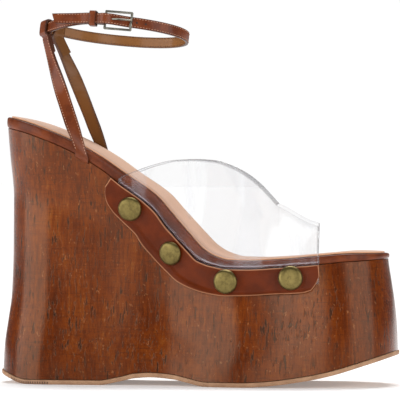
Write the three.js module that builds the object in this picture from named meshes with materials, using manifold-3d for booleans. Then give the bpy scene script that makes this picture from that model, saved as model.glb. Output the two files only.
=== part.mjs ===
// Right platform wedge sandal: cork wedge, clear vamp held by two studded leather bands, and an
// ankle strap carried by two slings. Millimetres. X runs from heel to toe, Y to the inner side of
// the foot and Z up from the floor. The origin is the middle of the heel's flat spot on the floor.
import * as THREE from 'three';
import { mergeVertices } from 'three/addons/utils/BufferGeometryUtils.js';
import Module from 'manifold-3d';

const manifold = await Module();
manifold.setup();

// Fits
const GAP = 0.3; // between two pieces that touch in the real shoe
const JOIN = 0.4; // how far two parts of one piece run into each other before they are fused

// Platform and sole
const SOLE_LENGTH = 235.5;
const SOLE_HALF_WIDTH = 47; // at the ball, on the outer side, under the flare of the cork
const HEEL_HEIGHT = 158.2; // floor to the insole board's top edge at the back
const PLATFORM_HEIGHT = 73.7; // floor to the insole board's top edge under the ball
const HEEL_LIFT = 5.3; // rise of the sole's rear tip
const ARCH_LIFT = 4.9;
const TOE_SPRING = 18;
const HEEL_ROUND = 30; // length over which the plan closes at the heel
const TOE_ROUND = 40;
const TOE_LEAN = 4; // how far the toe's tip lies towards the inner side
const FLARE = 5.8; // how far the cork draws in from its foot
const OUTSOLE_THICKNESS = 2.7;
const OUTSOLE_LIP = 0.8; // how far the outsole stands out from the cork
const BOARD_THICKNESS = 7.4; // insole board with its leather wrap, on the steep part
const BOARD_BULGE = 0.6;
const SOCK_THICKNESS = 0.8;
const SOCK_INSET = 2.2;

// Clear vamp
const VAMP_THICKNESS = 2;
const VAMP_REAR = 70.4; // along the sole, at the middle of the foot
const VAMP_NOTCH = 164.1;
const VAMP_FRONT = 189.1;
const INSTEP_RISE = 75; // the last's top line above the board
const EDGE_HEIGHT = 134; // floor to the highest part of the rear edge
const EDGE_START = 2.4; // least height of the rear edge above the cork's top
const VAMP_ROUNDNESS = 2.2; // exponent of the arch across the foot
const VAMP_SKEW = THREE.MathUtils.degToRad(7); // inner side further back than the outer side
const SKIRT_DEPTH = 11; // how far the vamp reaches down the cork, square to the topline
const SHOULDER_DROP = 2; // where the skirt starts to turn out over the board, below the cork's top

// Side bands and studs
const BAND_THICKNESS = 1.5;
const BAND_DEPTH = 17;
const BAND_REAR = 66.3;
const BAND_FRONT = 189.4;
const STUD_RADIUS = 7.2;
const STUD_DOME = 2.6;
const STUD_EDGE = 0.9;
const SHANK_RADIUS = 1.6;
const SHANK_DEPTH = 8.5; // from the stud's back into the cork

// Ankle strap
const STRAP_WIDTH = 6.4;
const STRAP_THICKNESS = 1.8;
const RING_BACK = 23.2; // along the sole
const RING_FRONT = 109.8;
const RING_HALF_WIDTH = 30.5;
const RING_HEIGHT = 210; // floor to the strap's middle line, at the ring's middle
const RING_PITCH = 0.09; // fall towards the toe
const RING_ROLL = 0.172; // fall towards the inner side
const RING_DIP = 5.6; // how far the outer sling pulls the back down
const RING_TAPER = 0.36; // how much narrower the ring is at the back
const RING_TAPER_POWER = 2.6; // how late it narrows
const RING_FRONT_ROUNDNESS = 2.1; // exponents of its outline, a circle's being 2
const RING_BACK_ROUNDNESS = 2.9;
const BUCKLE_PLACE = 65.8; // rear bar of the buckle, along the sole
const TAIL_LENGTH = 28.6; // from the rear bar to the strap's free tip
const TIP_SLANT = 2.2;
const KEEPER_PLACE = 58.8;
const KEEPER_WIDTH = 4;
const KEEPER_THICKNESS = 1;

// Buckle
const BUCKLE_LENGTH = 16.8;
const BUCKLE_WIDTH = 11.5;
const BUCKLE_BAR = 1.25;
const BUCKLE_CORNER = 0.7;
const EYE_WALL = 0.9; // leather round the rear bar
const SLOT_MARGIN = 0.4; // slot for the prong, past the leather round the bar
const PRONG_RADIUS = 0.6;
const PRONG_EYE_WIDTH = 1.6;
const PRONG_EYE_WALL = 0.7;

// Slings
const SLING_WIDTH = 8;
const SLING_THICKNESS = 1.6;
const SLING_SEAT = 52.2; // along the sole, where the outer sling leaves the cork
const SLING_STAGGER = 2.7; // the inner sling sits further forward
const SLING_TAB = 9; // length tucked between board and cork
const SLING_FOOT_SPREAD = 1.12; // width at the foot, share of SLING_WIDTH
const FOOT_PULL = 14; // height over which the leg keeps its foot's direction
const FOOT_LEAN = 0.32; // lean to the rear there, per height
const HEAD_PULL = 24; // the same below the loop
const OUTER_HEAD_LEAN = 0.29;
const INNER_HEAD_LEAN = 0.46;
const HEAD_SPLAY = 0.21; // lean away from the foot below the loop
const LOOP_WALL = 1.4;
const OUTER_LOOP_PLACE = 0.06; // share of the ring, from the back round by the outer side
const INNER_LOOP_PLACE = 0.93;

// Where the sole is flat on the floor, as shares of SOLE_LENGTH
const HEEL_FLAT = { from: 0.08, to: 0.265 };
const BALL_FLAT = { from: 0.545, to: 0.63 };
const HEEL_REST = (SOLE_LENGTH * (HEEL_FLAT.from + HEEL_FLAT.to)) / 2;

// Underside. at: share of SOLE_LENGTH. heel, arch and toe: shares of the three lifts.
const UNDERSIDE = [
  { at: 0, heel: 1, arch: 0, toe: 0 },
  { at: 0.031, heel: 0.55, arch: 0, toe: 0 },
  { at: 0.058, heel: 0.15, arch: 0, toe: 0 },
  { at: HEEL_FLAT.from, heel: 0, arch: 0, toe: 0 },
  { at: HEEL_FLAT.to, heel: 0, arch: 0, toe: 0 },
  { at: 0.32, heel: 0, arch: 0.46, toe: 0 },
  { at: 0.358, heel: 0, arch: 0.87, toe: 0 },
  { at: 0.4, heel: 0, arch: 1, toe: 0 },
  { at: 0.458, heel: 0, arch: 0.8, toe: 0 },
  { at: 0.491, heel: 0, arch: 0.46, toe: 0 },
  { at: BALL_FLAT.from, heel: 0, arch: 0, toe: 0 },
  { at: BALL_FLAT.to, heel: 0, arch: 0, toe: 0 },
  { at: 0.692, heel: 0, arch: 0, toe: 0.045 },
  { at: 0.787, heel: 0, arch: 0, toe: 0.21 },
  { at: 0.85, heel: 0, arch: 0, toe: 0.38 },
  { at: 0.94, heel: 0, arch: 0, toe: 0.74 },
  { at: 1, heel: 0, arch: 0, toe: 1 },
];

// Topline. rise: share of the heel's height over the platform. board: share of BOARD_THICKNESS.
const TOPLINE = [
  { at: 0, rise: 1.006, board: 0.83 },
  { at: 0.07, rise: 0.964, board: 0.83 },
  { at: 0.14, rise: 0.897, board: 0.81 },
  { at: 0.2, rise: 0.824, board: 0.8 },
  { at: 0.27, rise: 0.716, board: 0.82 },
  { at: 0.33, rise: 0.601, board: 0.9 },
  { at: 0.41, rise: 0.449, board: 1 },
  { at: 0.45, rise: 0.327, board: 1 },
  { at: 0.5, rise: 0.173, board: 0.95 },
  { at: 0.53, rise: 0.086, board: 0.85 },
  { at: 0.56, rise: 0.034, board: 0.73 },
  { at: 0.6, rise: 0.004, board: 0.64 },
  { at: 0.65, rise: 0.001, board: 0.62 },
  { at: 0.72, rise: 0.011, board: 0.6 },
  { at: 0.82, rise: 0.036, board: 0.64 },
  { at: 0.9, rise: 0.053, board: 0.6 },
  { at: 1, rise: 0.051, board: 0.3 },
];

// Plan of the cork's foot. outer and inner: half widths as shares of SOLE_HALF_WIDTH.
const PLAN = [
  { at: 0, outer: 0.64, inner: 0.64 },
  { at: 0.08, outer: 0.68, inner: 0.68 },
  { at: 0.15, outer: 0.7, inner: 0.7 },
  { at: 0.25, outer: 0.7, inner: 0.69 },
  { at: 0.35, outer: 0.69, inner: 0.64 },
  { at: 0.42, outer: 0.72, inner: 0.62 },
  { at: 0.5, outer: 0.81, inner: 0.7 },
  { at: 0.57, outer: 0.92, inner: 0.8 },
  { at: 0.64, outer: 0.99, inner: 0.88 },
  { at: 0.72, outer: 1, inner: 0.925 },
  { at: 0.8, outer: 0.98, inner: 0.93 },
  { at: 0.9, outer: 0.915, inner: 0.9 },
  { at: 1, outer: 0.83, inner: 0.85 },
];

// Wall of the cork. up: share of its height. heel and toe: how far it draws in, shares of FLARE.
const WALL = [
  { up: 0, heel: 0, toe: 0 },
  { up: 0.1, heel: 0.12, toe: 0.03 },
  { up: 0.2, heel: 0.45, toe: 0.07 },
  { up: 0.32, heel: 0.83, toe: 0.14 },
  { up: 0.5, heel: 0.98, toe: 0.31 },
  { up: 0.72, heel: 1, toe: 0.61 },
  { up: 0.9, heel: 0.6, toe: 0.88 },
  { up: 1, heel: 0.41, toe: 1 },
];

// Rear edge of the vamp and the last's top line. at: share from VAMP_REAR to VAMP_NOTCH.
// edge: height of the wall's edge, share of EDGE_HEIGHT. last: share of INSTEP_RISE.
const THROAT = [
  { at: 0, edge: 0.908, last: 0.83 },
  { at: 0.042, edge: 0.925, last: 0.84 },
  { at: 0.114, edge: 0.945, last: 0.86 },
  { at: 0.23, edge: 0.974, last: 0.88 },
  { at: 0.356, edge: 0.995, last: 0.93 },
  { at: 0.488, edge: 1, last: 0.987 },
  { at: 0.603, edge: 0.995, last: 1 },
  { at: 0.716, edge: 0.969, last: 0.907 },
  { at: 0.816, edge: 0.929, last: 0.757 },
  { at: 0.892, edge: 0.885, last: 0.637 },
  { at: 0.945, edge: 0.847, last: 0.54 },
  { at: 1, edge: 0.805, last: 0.424 },
];

// Crown of the vamp ahead of the notch. at: share from VAMP_NOTCH to VAMP_FRONT.
const CROWN = [
  { at: 0, last: 0.424 },
  { at: 0.24, last: 0.379 },
  { at: 0.48, last: 0.325 },
  { at: 0.7, last: 0.279 },
  { at: 1, last: 0.233 },
];

// Depth of a side band. at: share of its length. depth: share of BAND_DEPTH.
const BAND_OUTLINE = [
  { at: 0, depth: 0.36 },
  { at: 0.02, depth: 0.62 },
  { at: 0.045, depth: 0.8 },
  { at: 0.09, depth: 0.97 },
  { at: 0.16, depth: 1.06 },
  { at: 0.3, depth: 1.1 },
  { at: 0.4, depth: 1.07 },
  { at: 0.5, depth: 0.98 },
  { at: 0.6, depth: 0.92 },
  { at: 0.75, depth: 0.89 },
  { at: 0.9, depth: 0.92 },
  { at: 0.95, depth: 0.86 },
  { at: 0.98, depth: 0.64 },
  { at: 1, depth: 0.36 },
];

// Standing of a band's back off the cork. down: share of BAND_DEPTH below its top edge.
// vamp: share of the clear vamp's wall that it clears. bulge: share of the board's bulge.
const BAND_STANDING = [
  { down: 0, vamp: 1.36, bulge: 1 },
  { down: 0.25, vamp: 1.36, bulge: 0 },
  { down: 0.74, vamp: 1.36, bulge: 0 },
  { down: 0.9, vamp: 0.4, bulge: 0 },
  { down: 1, vamp: 0.12, bulge: 0 },
];

// Studs. at: share of the band's length. down: share of BAND_DEPTH below its top edge.
const STUDS = [
  { at: 0.128, down: 0.465 },
  { at: 0.338, down: 0.462 },
  { at: 0.564, down: 0.424 },
  { at: 0.863, down: 0.376 },
];

// Lift of the strap off the ring near the buckle. ahead: distance from the rear bar, as a share
// of BUCKLE_LENGTH. layers: share of one strap layer with its gap. rise: share of STRAP_WIDTH.
const OVERLAP = [
  { ahead: -2, layers: 4.2, rise: 0.3 },
  { ahead: -1.6, layers: 2.9, rise: 0.17 },
  { ahead: -1.1, layers: 1.5, rise: 0.03 },
  { ahead: -0.75, layers: 1.03, rise: 0 },
  { ahead: -0.24, layers: 1.03, rise: 0 },
  { ahead: -0.05, layers: 1.85, rise: 0 },
  { ahead: 0.15, layers: 1.8, rise: 0 },
  { ahead: 0.45, layers: 1, rise: 0 },
  { ahead: 0.75, layers: 0.16, rise: 0 },
  { ahead: 0.9, layers: 0, rise: 0 },
];

// Bend of a sling's foot out of the seam. inward: distance from the leg's face, up: height above
// the seam, both shares of SLING_THICKNESS. turn: share of the turn from flat to upright.
const SLING_BEND = [
  { inward: 1.4, up: -0.7, turn: 0 },
  { inward: 0.44, up: -0.4, turn: 0.3 },
  { inward: 0.06, up: 0.13, turn: 0.66 },
  { inward: 0, up: 1.2, turn: 1 },
];

// Path of the prong. ahead: share of the buckle's bar spacing. out: share of STRAP_THICKNESS.
const PRONG_PATH = [
  { ahead: 0.11, out: 0.1 },
  { ahead: 0.2, out: 1 },
  { ahead: 0.36, out: 2.25 },
  { ahead: 0.55, out: 2.5 },
  { ahead: 1.06, out: 2.18 },
];

// Value of a column at a place in a table, by a monotone cubic between the rows
function look(rows, key, column, place) {
  const count = rows.length;
  if (place <= rows[0][key]) return rows[0][column];
  if (place >= rows[count - 1][key]) return rows[count - 1][column];
  let index = 0;
  while (place > rows[index + 1][key]) index += 1;
  const slope = (i) => (rows[i + 1][column] - rows[i][column]) / (rows[i + 1][key] - rows[i][key]);
  const tangent = (i) => {
    if (i === 0) return slope(0);
    if (i === count - 1) return slope(count - 2);
    const before = slope(i - 1);
    const after = slope(i);
    return before * after <= 0 ? 0 : (2 * before * after) / (before + after);
  };
  const start = rows[index];
  const end = rows[index + 1];
  const span = end[key] - start[key];
  const t = (place - start[key]) / span;
  const rest = 1 - t;
  return (
    start[column] * (1 + 2 * t) * rest * rest +
    tangent(index) * span * t * rest * rest +
    end[column] * t * t * (3 - 2 * t) -
    tangent(index + 1) * span * t * t * rest
  );
}

const blend = (from, to, share) => from + (to - from) * share;

function smooth(from, to, value) {
  return THREE.MathUtils.smoothstep(value, from, to);
}

// Height of the underside, of the board's top edge and of the cork's top, at a place on the sole
function undersideHeight(x) {
  const at = x / SOLE_LENGTH;
  const heel = HEEL_LIFT * look(UNDERSIDE, 'at', 'heel', at);
  const arch = ARCH_LIFT * look(UNDERSIDE, 'at', 'arch', at);
  const toe = TOE_SPRING * look(UNDERSIDE, 'at', 'toe', at);
  return heel + arch + toe;
}

function boardTop(x) {
  const rise = look(TOPLINE, 'at', 'rise', x / SOLE_LENGTH);
  return PLATFORM_HEIGHT + (HEEL_HEIGHT - PLATFORM_HEIGHT) * rise;
}

function toplineSlope(x) {
  const step = 2;
  return Math.atan2(boardTop(x - step) - boardTop(x + step), 2 * step);
}

function boardDepth(x) {
  return (BOARD_THICKNESS * look(TOPLINE, 'at', 'board', x / SOLE_LENGTH)) / Math.cos(toplineSlope(x));
}

const corkTop = (x) => boardTop(x) - boardDepth(x) - GAP;

// Height at x of the line that runs a depth below the cork's top edge, square to it
function belowCorkTop(x, depth) {
  let top = x;
  for (let pass = 0; pass < 12; pass += 1) top = x + depth * Math.sin(toplineSlope(top));
  return corkTop(top) - depth * Math.cos(toplineSlope(top));
}

const corkFoot = (x) => undersideHeight(x) + OUTSOLE_THICKNESS + GAP;

// Plan outline at a height of the wall, grown outwards. side is -1 outside and 1 inside.
function planLimits(up, grow) {
  return {
    rear: FLARE * look(WALL, 'up', 'heel', up) - grow,
    front: SOLE_LENGTH - FLARE * look(WALL, 'up', 'toe', up) + grow,
  };
}

function endRounding(share) {
  const heel = HEEL_ROUND / SOLE_LENGTH;
  const toe = TOE_ROUND / SOLE_LENGTH;
  const heelPower = 2.2;
  const toePower = 2.6;
  if (share < heel) return (1 - (1 - share / heel) ** heelPower) ** (1 / heelPower);
  if (share > 1 - toe) return (1 - (1 - (1 - share) / toe) ** toePower) ** (1 / toePower);
  return 1;
}

function planEdge(share, side, up, grow) {
  const column = side < 0 ? 'outer' : 'inner';
  const forefoot = smooth(0.35, 0.75, share);
  const drawnIn = blend(look(WALL, 'up', 'heel', up), look(WALL, 'up', 'toe', up), forefoot);
  const half = SOLE_HALF_WIDTH * look(PLAN, 'at', column, share) - FLARE * drawnIn + grow;
  const lean = TOE_LEAN * smooth(0.5, 1, share);
  return lean + side * half * endRounding(share);
}

// Y of the cork's wall, and of the board's edge, at a place
function wallEdge(x, z, side, grow = 0) {
  const foot = corkFoot(x);
  const up = THREE.MathUtils.clamp((z - foot) / (corkTop(x) - foot), 0, 1);
  const limits = planLimits(up, 0);
  return planEdge((x - limits.rear) / (limits.front - limits.rear), side, up, grow);
}

function boardEdge(x, side, grow) {
  const limits = planLimits(1, 0);
  return planEdge((x - limits.rear) / (limits.front - limits.rear), side, 1, grow);
}

// X of a point that belongs to a place on the middle line, in the vamp's skewed sections
const skewed = (place, y) => place - y * Math.tan(VAMP_SKEW);

// Mesh from points and triangles, with its faces turned outwards
function closedGeometry(points, triangles) {
  const geometry = new THREE.BufferGeometry();
  geometry.setAttribute('position', new THREE.Float32BufferAttribute(points.flatMap((p) => p.toArray()), 3));
  const whole = triangles.filter(([a, b, c]) => a !== b && b !== c && c !== a);
  let volume = 0;
  for (const [a, b, c] of whole) {
    volume += points[a].dot(points[b].clone().cross(points[c]));
  }
  geometry.setIndex(whole.flatMap(([a, b, c]) => (volume < 0 ? [a, c, b] : [a, b, c])));
  return geometry;
}

const quad = (a, b, c, d) => [[a, b, c], [a, c, d]];

// Solid between stacked rings of equal count. Each ring runs out along one side and back along
// the other, so its flat ends are closed by strips across.
function slab(rings) {
  const count = rings[0].length;
  const triangles = [];
  for (let level = 0; level + 1 < rings.length; level += 1) {
    for (let i = 0; i < count; i += 1) {
      const next = (i + 1) % count;
      const low = level * count;
      triangles.push(...quad(low + i, low + next, low + count + next, low + count + i));
    }
  }
  const half = count / 2;
  const top = (rings.length - 1) * count;
  for (let i = 0; i < half; i += 1) {
    const back = (count - i) % count;
    const backNext = count - i - 1;
    triangles.push(...quad(i, back, backNext, i + 1));
    triangles.push(...quad(top + i, top + i + 1, top + backNext, top + back));
  }
  return closedGeometry(rings.flat(), triangles);
}

const STATIONS = 40;

// One ring of a slab: up is the height on the cork's wall whose plan it follows
function planRing(up, grow, height) {
  const limits = planLimits(up, grow);
  const point = (station, side) => {
    const share = (1 - Math.cos((Math.PI * station) / STATIONS)) / 2;
    const x = blend(limits.rear, limits.front, share);
    return new THREE.Vector3(x, planEdge(share, side, up, grow), height(x));
  };
  const ring = [];
  for (let station = 0; station < STATIONS; station += 1) ring.push(point(station, -1));
  for (let station = STATIONS; station > 0; station -= 1) ring.push(point(station, 1));
  return ring;
}

// Solid swept through sections of equal count, closed by a fan at each end
function sweep(sections) {
  const count = sections[0].length;
  const triangles = [];
  for (let i = 0; i + 1 < sections.length; i += 1) {
    for (let j = 0; j < count; j += 1) {
      const next = (j + 1) % count;
      const low = i * count;
      triangles.push(...quad(low + j, low + next, low + count + next, low + count + j));
    }
  }
  const last = (sections.length - 1) * count;
  for (let j = 1; j + 1 < count; j += 1) {
    triangles.push([0, j + 1, j]);
    triangles.push([last, last + j, last + j + 1]);
  }
  return closedGeometry(sections.flat(), triangles);
}

// Hollow sleeve between outer and inner sections, open at both ends
function sleeve(outer, inner) {
  const count = outer[0].length;
  const points = [...outer.flat(), ...inner.flat()];
  const shift = outer.length * count;
  const triangles = [];
  for (let j = 0; j < count; j += 1) {
    const next = (j + 1) % count;
    for (let i = 0; i + 1 < outer.length; i += 1) {
      const low = i * count;
      const high = low + count;
      triangles.push(...quad(low + j, low + next, high + next, high + j));
      triangles.push(...quad(shift + low + j, shift + high + j, shift + high + next, shift + low + next));
    }
    const end = (outer.length - 1) * count;
    triangles.push(...quad(j, shift + j, shift + next, next));
    triangles.push(...quad(end + j, end + next, shift + end + next, shift + end + j));
  }
  return closedGeometry(points, triangles);
}

// Flat section with softened corners. place has a centre and unit directions across and out.
function flatSection(place, width, thickness, soften = 0.3) {
  const cut = thickness * soften;
  const w = width / 2;
  const t = thickness / 2;
  const corners = [
    [w - cut, -t], [w, -t + cut], [w, t - cut], [w - cut, t],
    [-w + cut, t], [-w, t - cut], [-w, -t + cut], [-w + cut, -t],
  ];
  return corners.map(([across, out]) =>
    place.centre.clone().addScaledVector(place.across, across).addScaledVector(place.out, out));
}

// Joins and cuts
function toSolid(geometry) {
  const bare = new THREE.BufferGeometry();
  bare.setAttribute('position', geometry.getAttribute('position'));
  if (geometry.index) bare.setIndex(geometry.index);
  const merged = mergeVertices(bare, 1e-4);
  return new manifold.Manifold(new manifold.Mesh({
    numProp: 3,
    vertProperties: new Float32Array(merged.getAttribute('position').array),
    triVerts: new Uint32Array(merged.index.array),
  }));
}

function toGeometry(body) {
  const mesh = body.getMesh();
  const geometry = new THREE.BufferGeometry();
  geometry.setAttribute('position', new THREE.Float32BufferAttribute(mesh.vertProperties, 3));
  geometry.setIndex(Array.from(mesh.triVerts));
  return geometry;
}

function cutBy(geometry, tools) {
  return toGeometry(tools.reduce((body, tool) => body.subtract(toSolid(tool)), toSolid(geometry)));
}

function joined(...geometries) {
  return toGeometry(geometries.map(toSolid).reduce((body, other) => body.add(other)));
}

// Turned piece about an axis through a point
function turned(profile, segments, point, axis) {
  const geometry = new THREE.LatheGeometry(profile.map(([r, h]) => new THREE.Vector2(r, h)), segments);
  const turn = new THREE.Quaternion().setFromUnitVectors(new THREE.Vector3(0, 1, 0), axis);
  geometry.applyQuaternion(turn);
  geometry.translate(point.x, point.y, point.z);
  return geometry;
}

function rod(radius, from, to, point, axis, segments = 8) {
  return turned([[0, from], [radius, from], [radius, to], [0, to]], segments, point, axis);
}

// Sole, cork wedge, insole board and sock
function outsole() {
  const edge = 0.6;
  const levels = [
    { up: 0, grow: -edge },
    { up: edge, grow: 0 },
    { up: OUTSOLE_THICKNESS - edge, grow: 0 },
    { up: OUTSOLE_THICKNESS, grow: -edge },
  ];
  return slab(levels.map((level) =>
    planRing(0, OUTSOLE_LIP + level.grow, (x) => undersideHeight(x) + level.up)));
}

function corkWedge() {
  const levels = [0, 0.09, 0.19, 0.31, 0.45, 0.6, 0.76, 0.9, 1];
  return slab(levels.map((up) => planRing(up, 0, (x) => blend(corkFoot(x), corkTop(x), up))));
}

function insoleBoard() {
  const levels = [
    { up: 0, grow: -0.7 },
    { up: 0.2, grow: 0.5 },
    { up: 0.5, grow: 1 },
    { up: 0.8, grow: 0.5 },
    { up: 1, grow: -0.7 },
  ];
  return slab(levels.map((level) => planRing(1, BOARD_BULGE * level.grow,
    (x) => boardTop(x) - boardDepth(x) * (1 - level.up))));
}

function sockLining() {
  const levels = [
    { up: 0, grow: 0 },
    { up: 0.6, grow: 0 },
    { up: 1, grow: -0.4 },
  ];
  return slab(levels.map((level) => planRing(1, level.grow - SOCK_INSET,
    (x) => boardTop(x) + GAP + SOCK_THICKNESS * level.up)));
}

// Clear vamp: inner face of its wall. row counts up from the hem, column along the foot.
const SKIRT_ROWS = 3;
const ARCH_ROWS = 8;
const THROAT_COLUMNS = 14;
const CROWN_COLUMNS = 4;
const THROAT_CROWDING = 1.35; // columns crowd towards the notch
const THROAT_SPREAD = 0.985; // share of the crown that the edge reaches at most behind the notch

function vampPlace(column) {
  if (column <= THROAT_COLUMNS) {
    const toNotch = 1 - column / THROAT_COLUMNS;
    return VAMP_NOTCH - (VAMP_NOTCH - VAMP_REAR) * toNotch ** THROAT_CROWDING;
  }
  return blend(VAMP_NOTCH, VAMP_FRONT, (column - THROAT_COLUMNS) / CROWN_COLUMNS);
}

// Height of the last's top line and of the wall's edge, at a place beside which the sole is at x
function vampHeights(place, x) {
  if (place >= VAMP_NOTCH) {
    const share = (place - VAMP_NOTCH) / (VAMP_FRONT - VAMP_NOTCH);
    const crown = boardTop(place) + INSTEP_RISE * look(CROWN, 'at', 'last', share);
    return { crown, edge: crown };
  }
  const share = (place - VAMP_REAR) / (VAMP_NOTCH - VAMP_REAR);
  const crown = boardTop(place) + INSTEP_RISE * look(THROAT, 'at', 'last', share);
  const edge = Math.max(EDGE_HEIGHT * look(THROAT, 'at', 'edge', share), corkTop(x) + EDGE_START);
  return { crown, edge };
}

// A point beside the board or the cork, at the height that a function of x gives
function besideSole(place, side, height, edge) {
  let x = place;
  let y = 0;
  for (let pass = 0; pass < 4; pass += 1) {
    y = edge(x, height(x));
    x = skewed(place, y);
  }
  return new THREE.Vector3(x, y, height(x));
}

const throatStop = (reach) => Math.asin(Math.min(reach, THROAT_SPREAD) ** (VAMP_ROUNDNESS / 2));

function vampInner(place, side, row) {
  const hem = (x) => belowCorkTop(x, SKIRT_DEPTH);
  const onCork = (x, z) => wallEdge(x, z, side, GAP);
  const onBoard = (x) => boardEdge(x, side, BOARD_BULGE + GAP);
  if (row < SKIRT_ROWS) {
    const up = row / (SKIRT_ROWS - 1);
    const shoulder = (x) => corkTop(x) - SHOULDER_DROP;
    return besideSole(place, side, (x) => blend(hem(x), shoulder(x), up), onCork);
  }
  if (row === SKIRT_ROWS) return besideSole(place, side, (x) => corkTop(x) + GAP, onBoard);
  const baseHeight = (x) =>
    Math.min(boardTop(x) - 1, (corkTop(x) + GAP + vampHeights(place, x).edge) / 2);
  const base = besideSole(place, side, baseHeight, onBoard);
  const { crown, edge } = vampHeights(place, base.x);
  const reach = (edge - base.z) / (crown + VAMP_THICKNESS - base.z);
  const stop = place >= VAMP_NOTCH ? Math.PI / 2 : throatStop(reach);
  const turn = (stop * (row - SKIRT_ROWS - 1)) / (ARCH_ROWS - 1);
  const y = base.y * Math.max(0, Math.cos(turn)) ** (2 / VAMP_ROUNDNESS);
  const z = blend(base.z, crown, Math.sin(turn) ** (2 / VAMP_ROUNDNESS));
  return new THREE.Vector3(skewed(place, y), y, z);
}

const VAMP_ROWS = SKIRT_ROWS + 1 + ARCH_ROWS;
const VAMP_COLUMNS = THROAT_COLUMNS + CROWN_COLUMNS + 1;

// Wall of the vamp as a grid: the two sides share their crown ahead of the notch
function clearVamp(studPoints) {
  const inner = {};
  for (const side of [-1, 1]) {
    inner[side] = [];
    for (let column = 0; column < VAMP_COLUMNS; column += 1) {
      const rows = [];
      for (let row = 0; row < VAMP_ROWS; row += 1) rows.push(vampInner(vampPlace(column), side, row));
      inner[side].push(rows);
    }
  }
  const outward = (side, column, row) => {
    const grid = inner[side];
    const along = grid[Math.min(column + 1, VAMP_COLUMNS - 1)][row]
      .clone().sub(grid[Math.max(column - 1, 0)][row]);
    const up = grid[column][Math.min(row + 1, VAMP_ROWS - 1)]
      .clone().sub(grid[column][Math.max(row - 1, 0)]);
    const atCrown = row === VAMP_ROWS - 1 && column >= THROAT_COLUMNS;
    if (atCrown) up.set(Math.sin(VAMP_SKEW) * side, -Math.cos(VAMP_SKEW) * side, 0);
    return along.cross(up).multiplyScalar(-side).normalize();
  };
  const points = [];
  const index = new Map();
  const vertex = (layer, side, column, row) => {
    const shared = row === VAMP_ROWS - 1 && column >= THROAT_COLUMNS;
    const key = [layer, shared ? 0 : side, column, row].join();
    if (!index.has(key)) {
      const point = inner[side][column][row].clone();
      if (layer === 1) point.addScaledVector(outward(side, column, row), VAMP_THICKNESS);
      index.set(key, points.push(point) - 1);
    }
    return index.get(key);
  };
  const triangles = [];
  const patch = (a, b, c, d, flip) => {
    triangles.push(...(flip ? quad(d, c, b, a) : quad(a, b, c, d)));
  };
  for (const side of [-1, 1]) {
    const flip = side > 0;
    for (let column = 0; column + 1 < VAMP_COLUMNS; column += 1) {
      for (let row = 0; row + 1 < VAMP_ROWS; row += 1) {
        const corners = (layer) => [
          vertex(layer, side, column, row), vertex(layer, side, column + 1, row),
          vertex(layer, side, column + 1, row + 1), vertex(layer, side, column, row + 1),
        ];
        patch(...corners(1), flip);
        patch(...corners(0), !flip);
      }
      const hem = [vertex(0, side, column, 0), vertex(0, side, column + 1, 0),
        vertex(1, side, column + 1, 0), vertex(1, side, column, 0)];
      patch(...hem, flip);
      if (column < THROAT_COLUMNS) {
        const top = VAMP_ROWS - 1;
        const edge = [vertex(1, side, column, top), vertex(1, side, column + 1, top),
          vertex(0, side, column + 1, top), vertex(0, side, column, top)];
        patch(...edge, flip);
      }
    }
    for (let row = 0; row + 1 < VAMP_ROWS; row += 1) {
      const front = VAMP_COLUMNS - 1;
      const rearEdge = [vertex(0, side, 0, row), vertex(1, side, 0, row),
        vertex(1, side, 0, row + 1), vertex(0, side, 0, row + 1)];
      const frontEdge = [vertex(1, side, front, row), vertex(0, side, front, row),
        vertex(0, side, front, row + 1), vertex(1, side, front, row + 1)];
      patch(...rearEdge, flip);
      patch(...frontEdge, flip);
    }
  }
  return cutBy(closedGeometry(points, triangles), shankHoles(studPoints));
}

// Side band: a place is a share along it and a share of BAND_DEPTH below its top edge
function bandPoint(side, share, down, off) {
  const place = blend(BAND_REAR, BAND_FRONT, share);
  const vampShare = VAMP_THICKNESS * look(BAND_STANDING, 'down', 'vamp', down);
  const standing = GAP + vampShare + BOARD_BULGE * look(BAND_STANDING, 'down', 'bulge', down);
  const top = besideSole(place, side, corkTop, (x, z) => wallEdge(x, z, side));
  const slope = toplineSlope(top.x);
  const depth = BAND_DEPTH * down;
  const x = top.x - depth * Math.sin(slope);
  const z = top.z - depth * Math.cos(slope);
  return new THREE.Vector3(x, wallEdge(x, z, side, standing + off), z);
}

function sideBand(side, studPoints) {
  const columns = 20;
  const rows = [0, 0.14, 0.3, 0.74, 0.88, 1];
  const points = [];
  for (let column = 0; column <= columns; column += 1) {
    const share = (1 - Math.cos((Math.PI * column) / columns)) / 2;
    const depth = look(BAND_OUTLINE, 'at', 'depth', share);
    for (const off of [0, BAND_THICKNESS]) {
      for (const row of rows) points.push(bandPoint(side, share, row * depth, off));
    }
  }
  const count = rows.length;
  const at = (column, layer, row) => (column * 2 + layer) * count + row;
  const triangles = [];
  for (let column = 0; column < columns; column += 1) {
    for (let row = 0; row + 1 < count; row += 1) {
      const corners = (layer) => [at(column, layer, row), at(column + 1, layer, row),
        at(column + 1, layer, row + 1), at(column, layer, row + 1)];
      triangles.push(...quad(...corners(1)));
      triangles.push(...quad(...corners(0).reverse()));
    }
    for (const row of [0, count - 1]) {
      const strip = [at(column, 0, row), at(column + 1, 0, row),
        at(column + 1, 1, row), at(column, 1, row)];
      triangles.push(...quad(...(row === 0 ? strip : strip.reverse())));
    }
  }
  for (const column of [0, columns]) {
    for (let row = 0; row + 1 < count; row += 1) {
      const strip = [at(column, 0, row), at(column, 1, row),
        at(column, 1, row + 1), at(column, 0, row + 1)];
      triangles.push(...quad(...(column === 0 ? strip : strip.reverse())));
    }
  }
  return cutBy(closedGeometry(points, triangles), shankHoles(studPoints));
}

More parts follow.
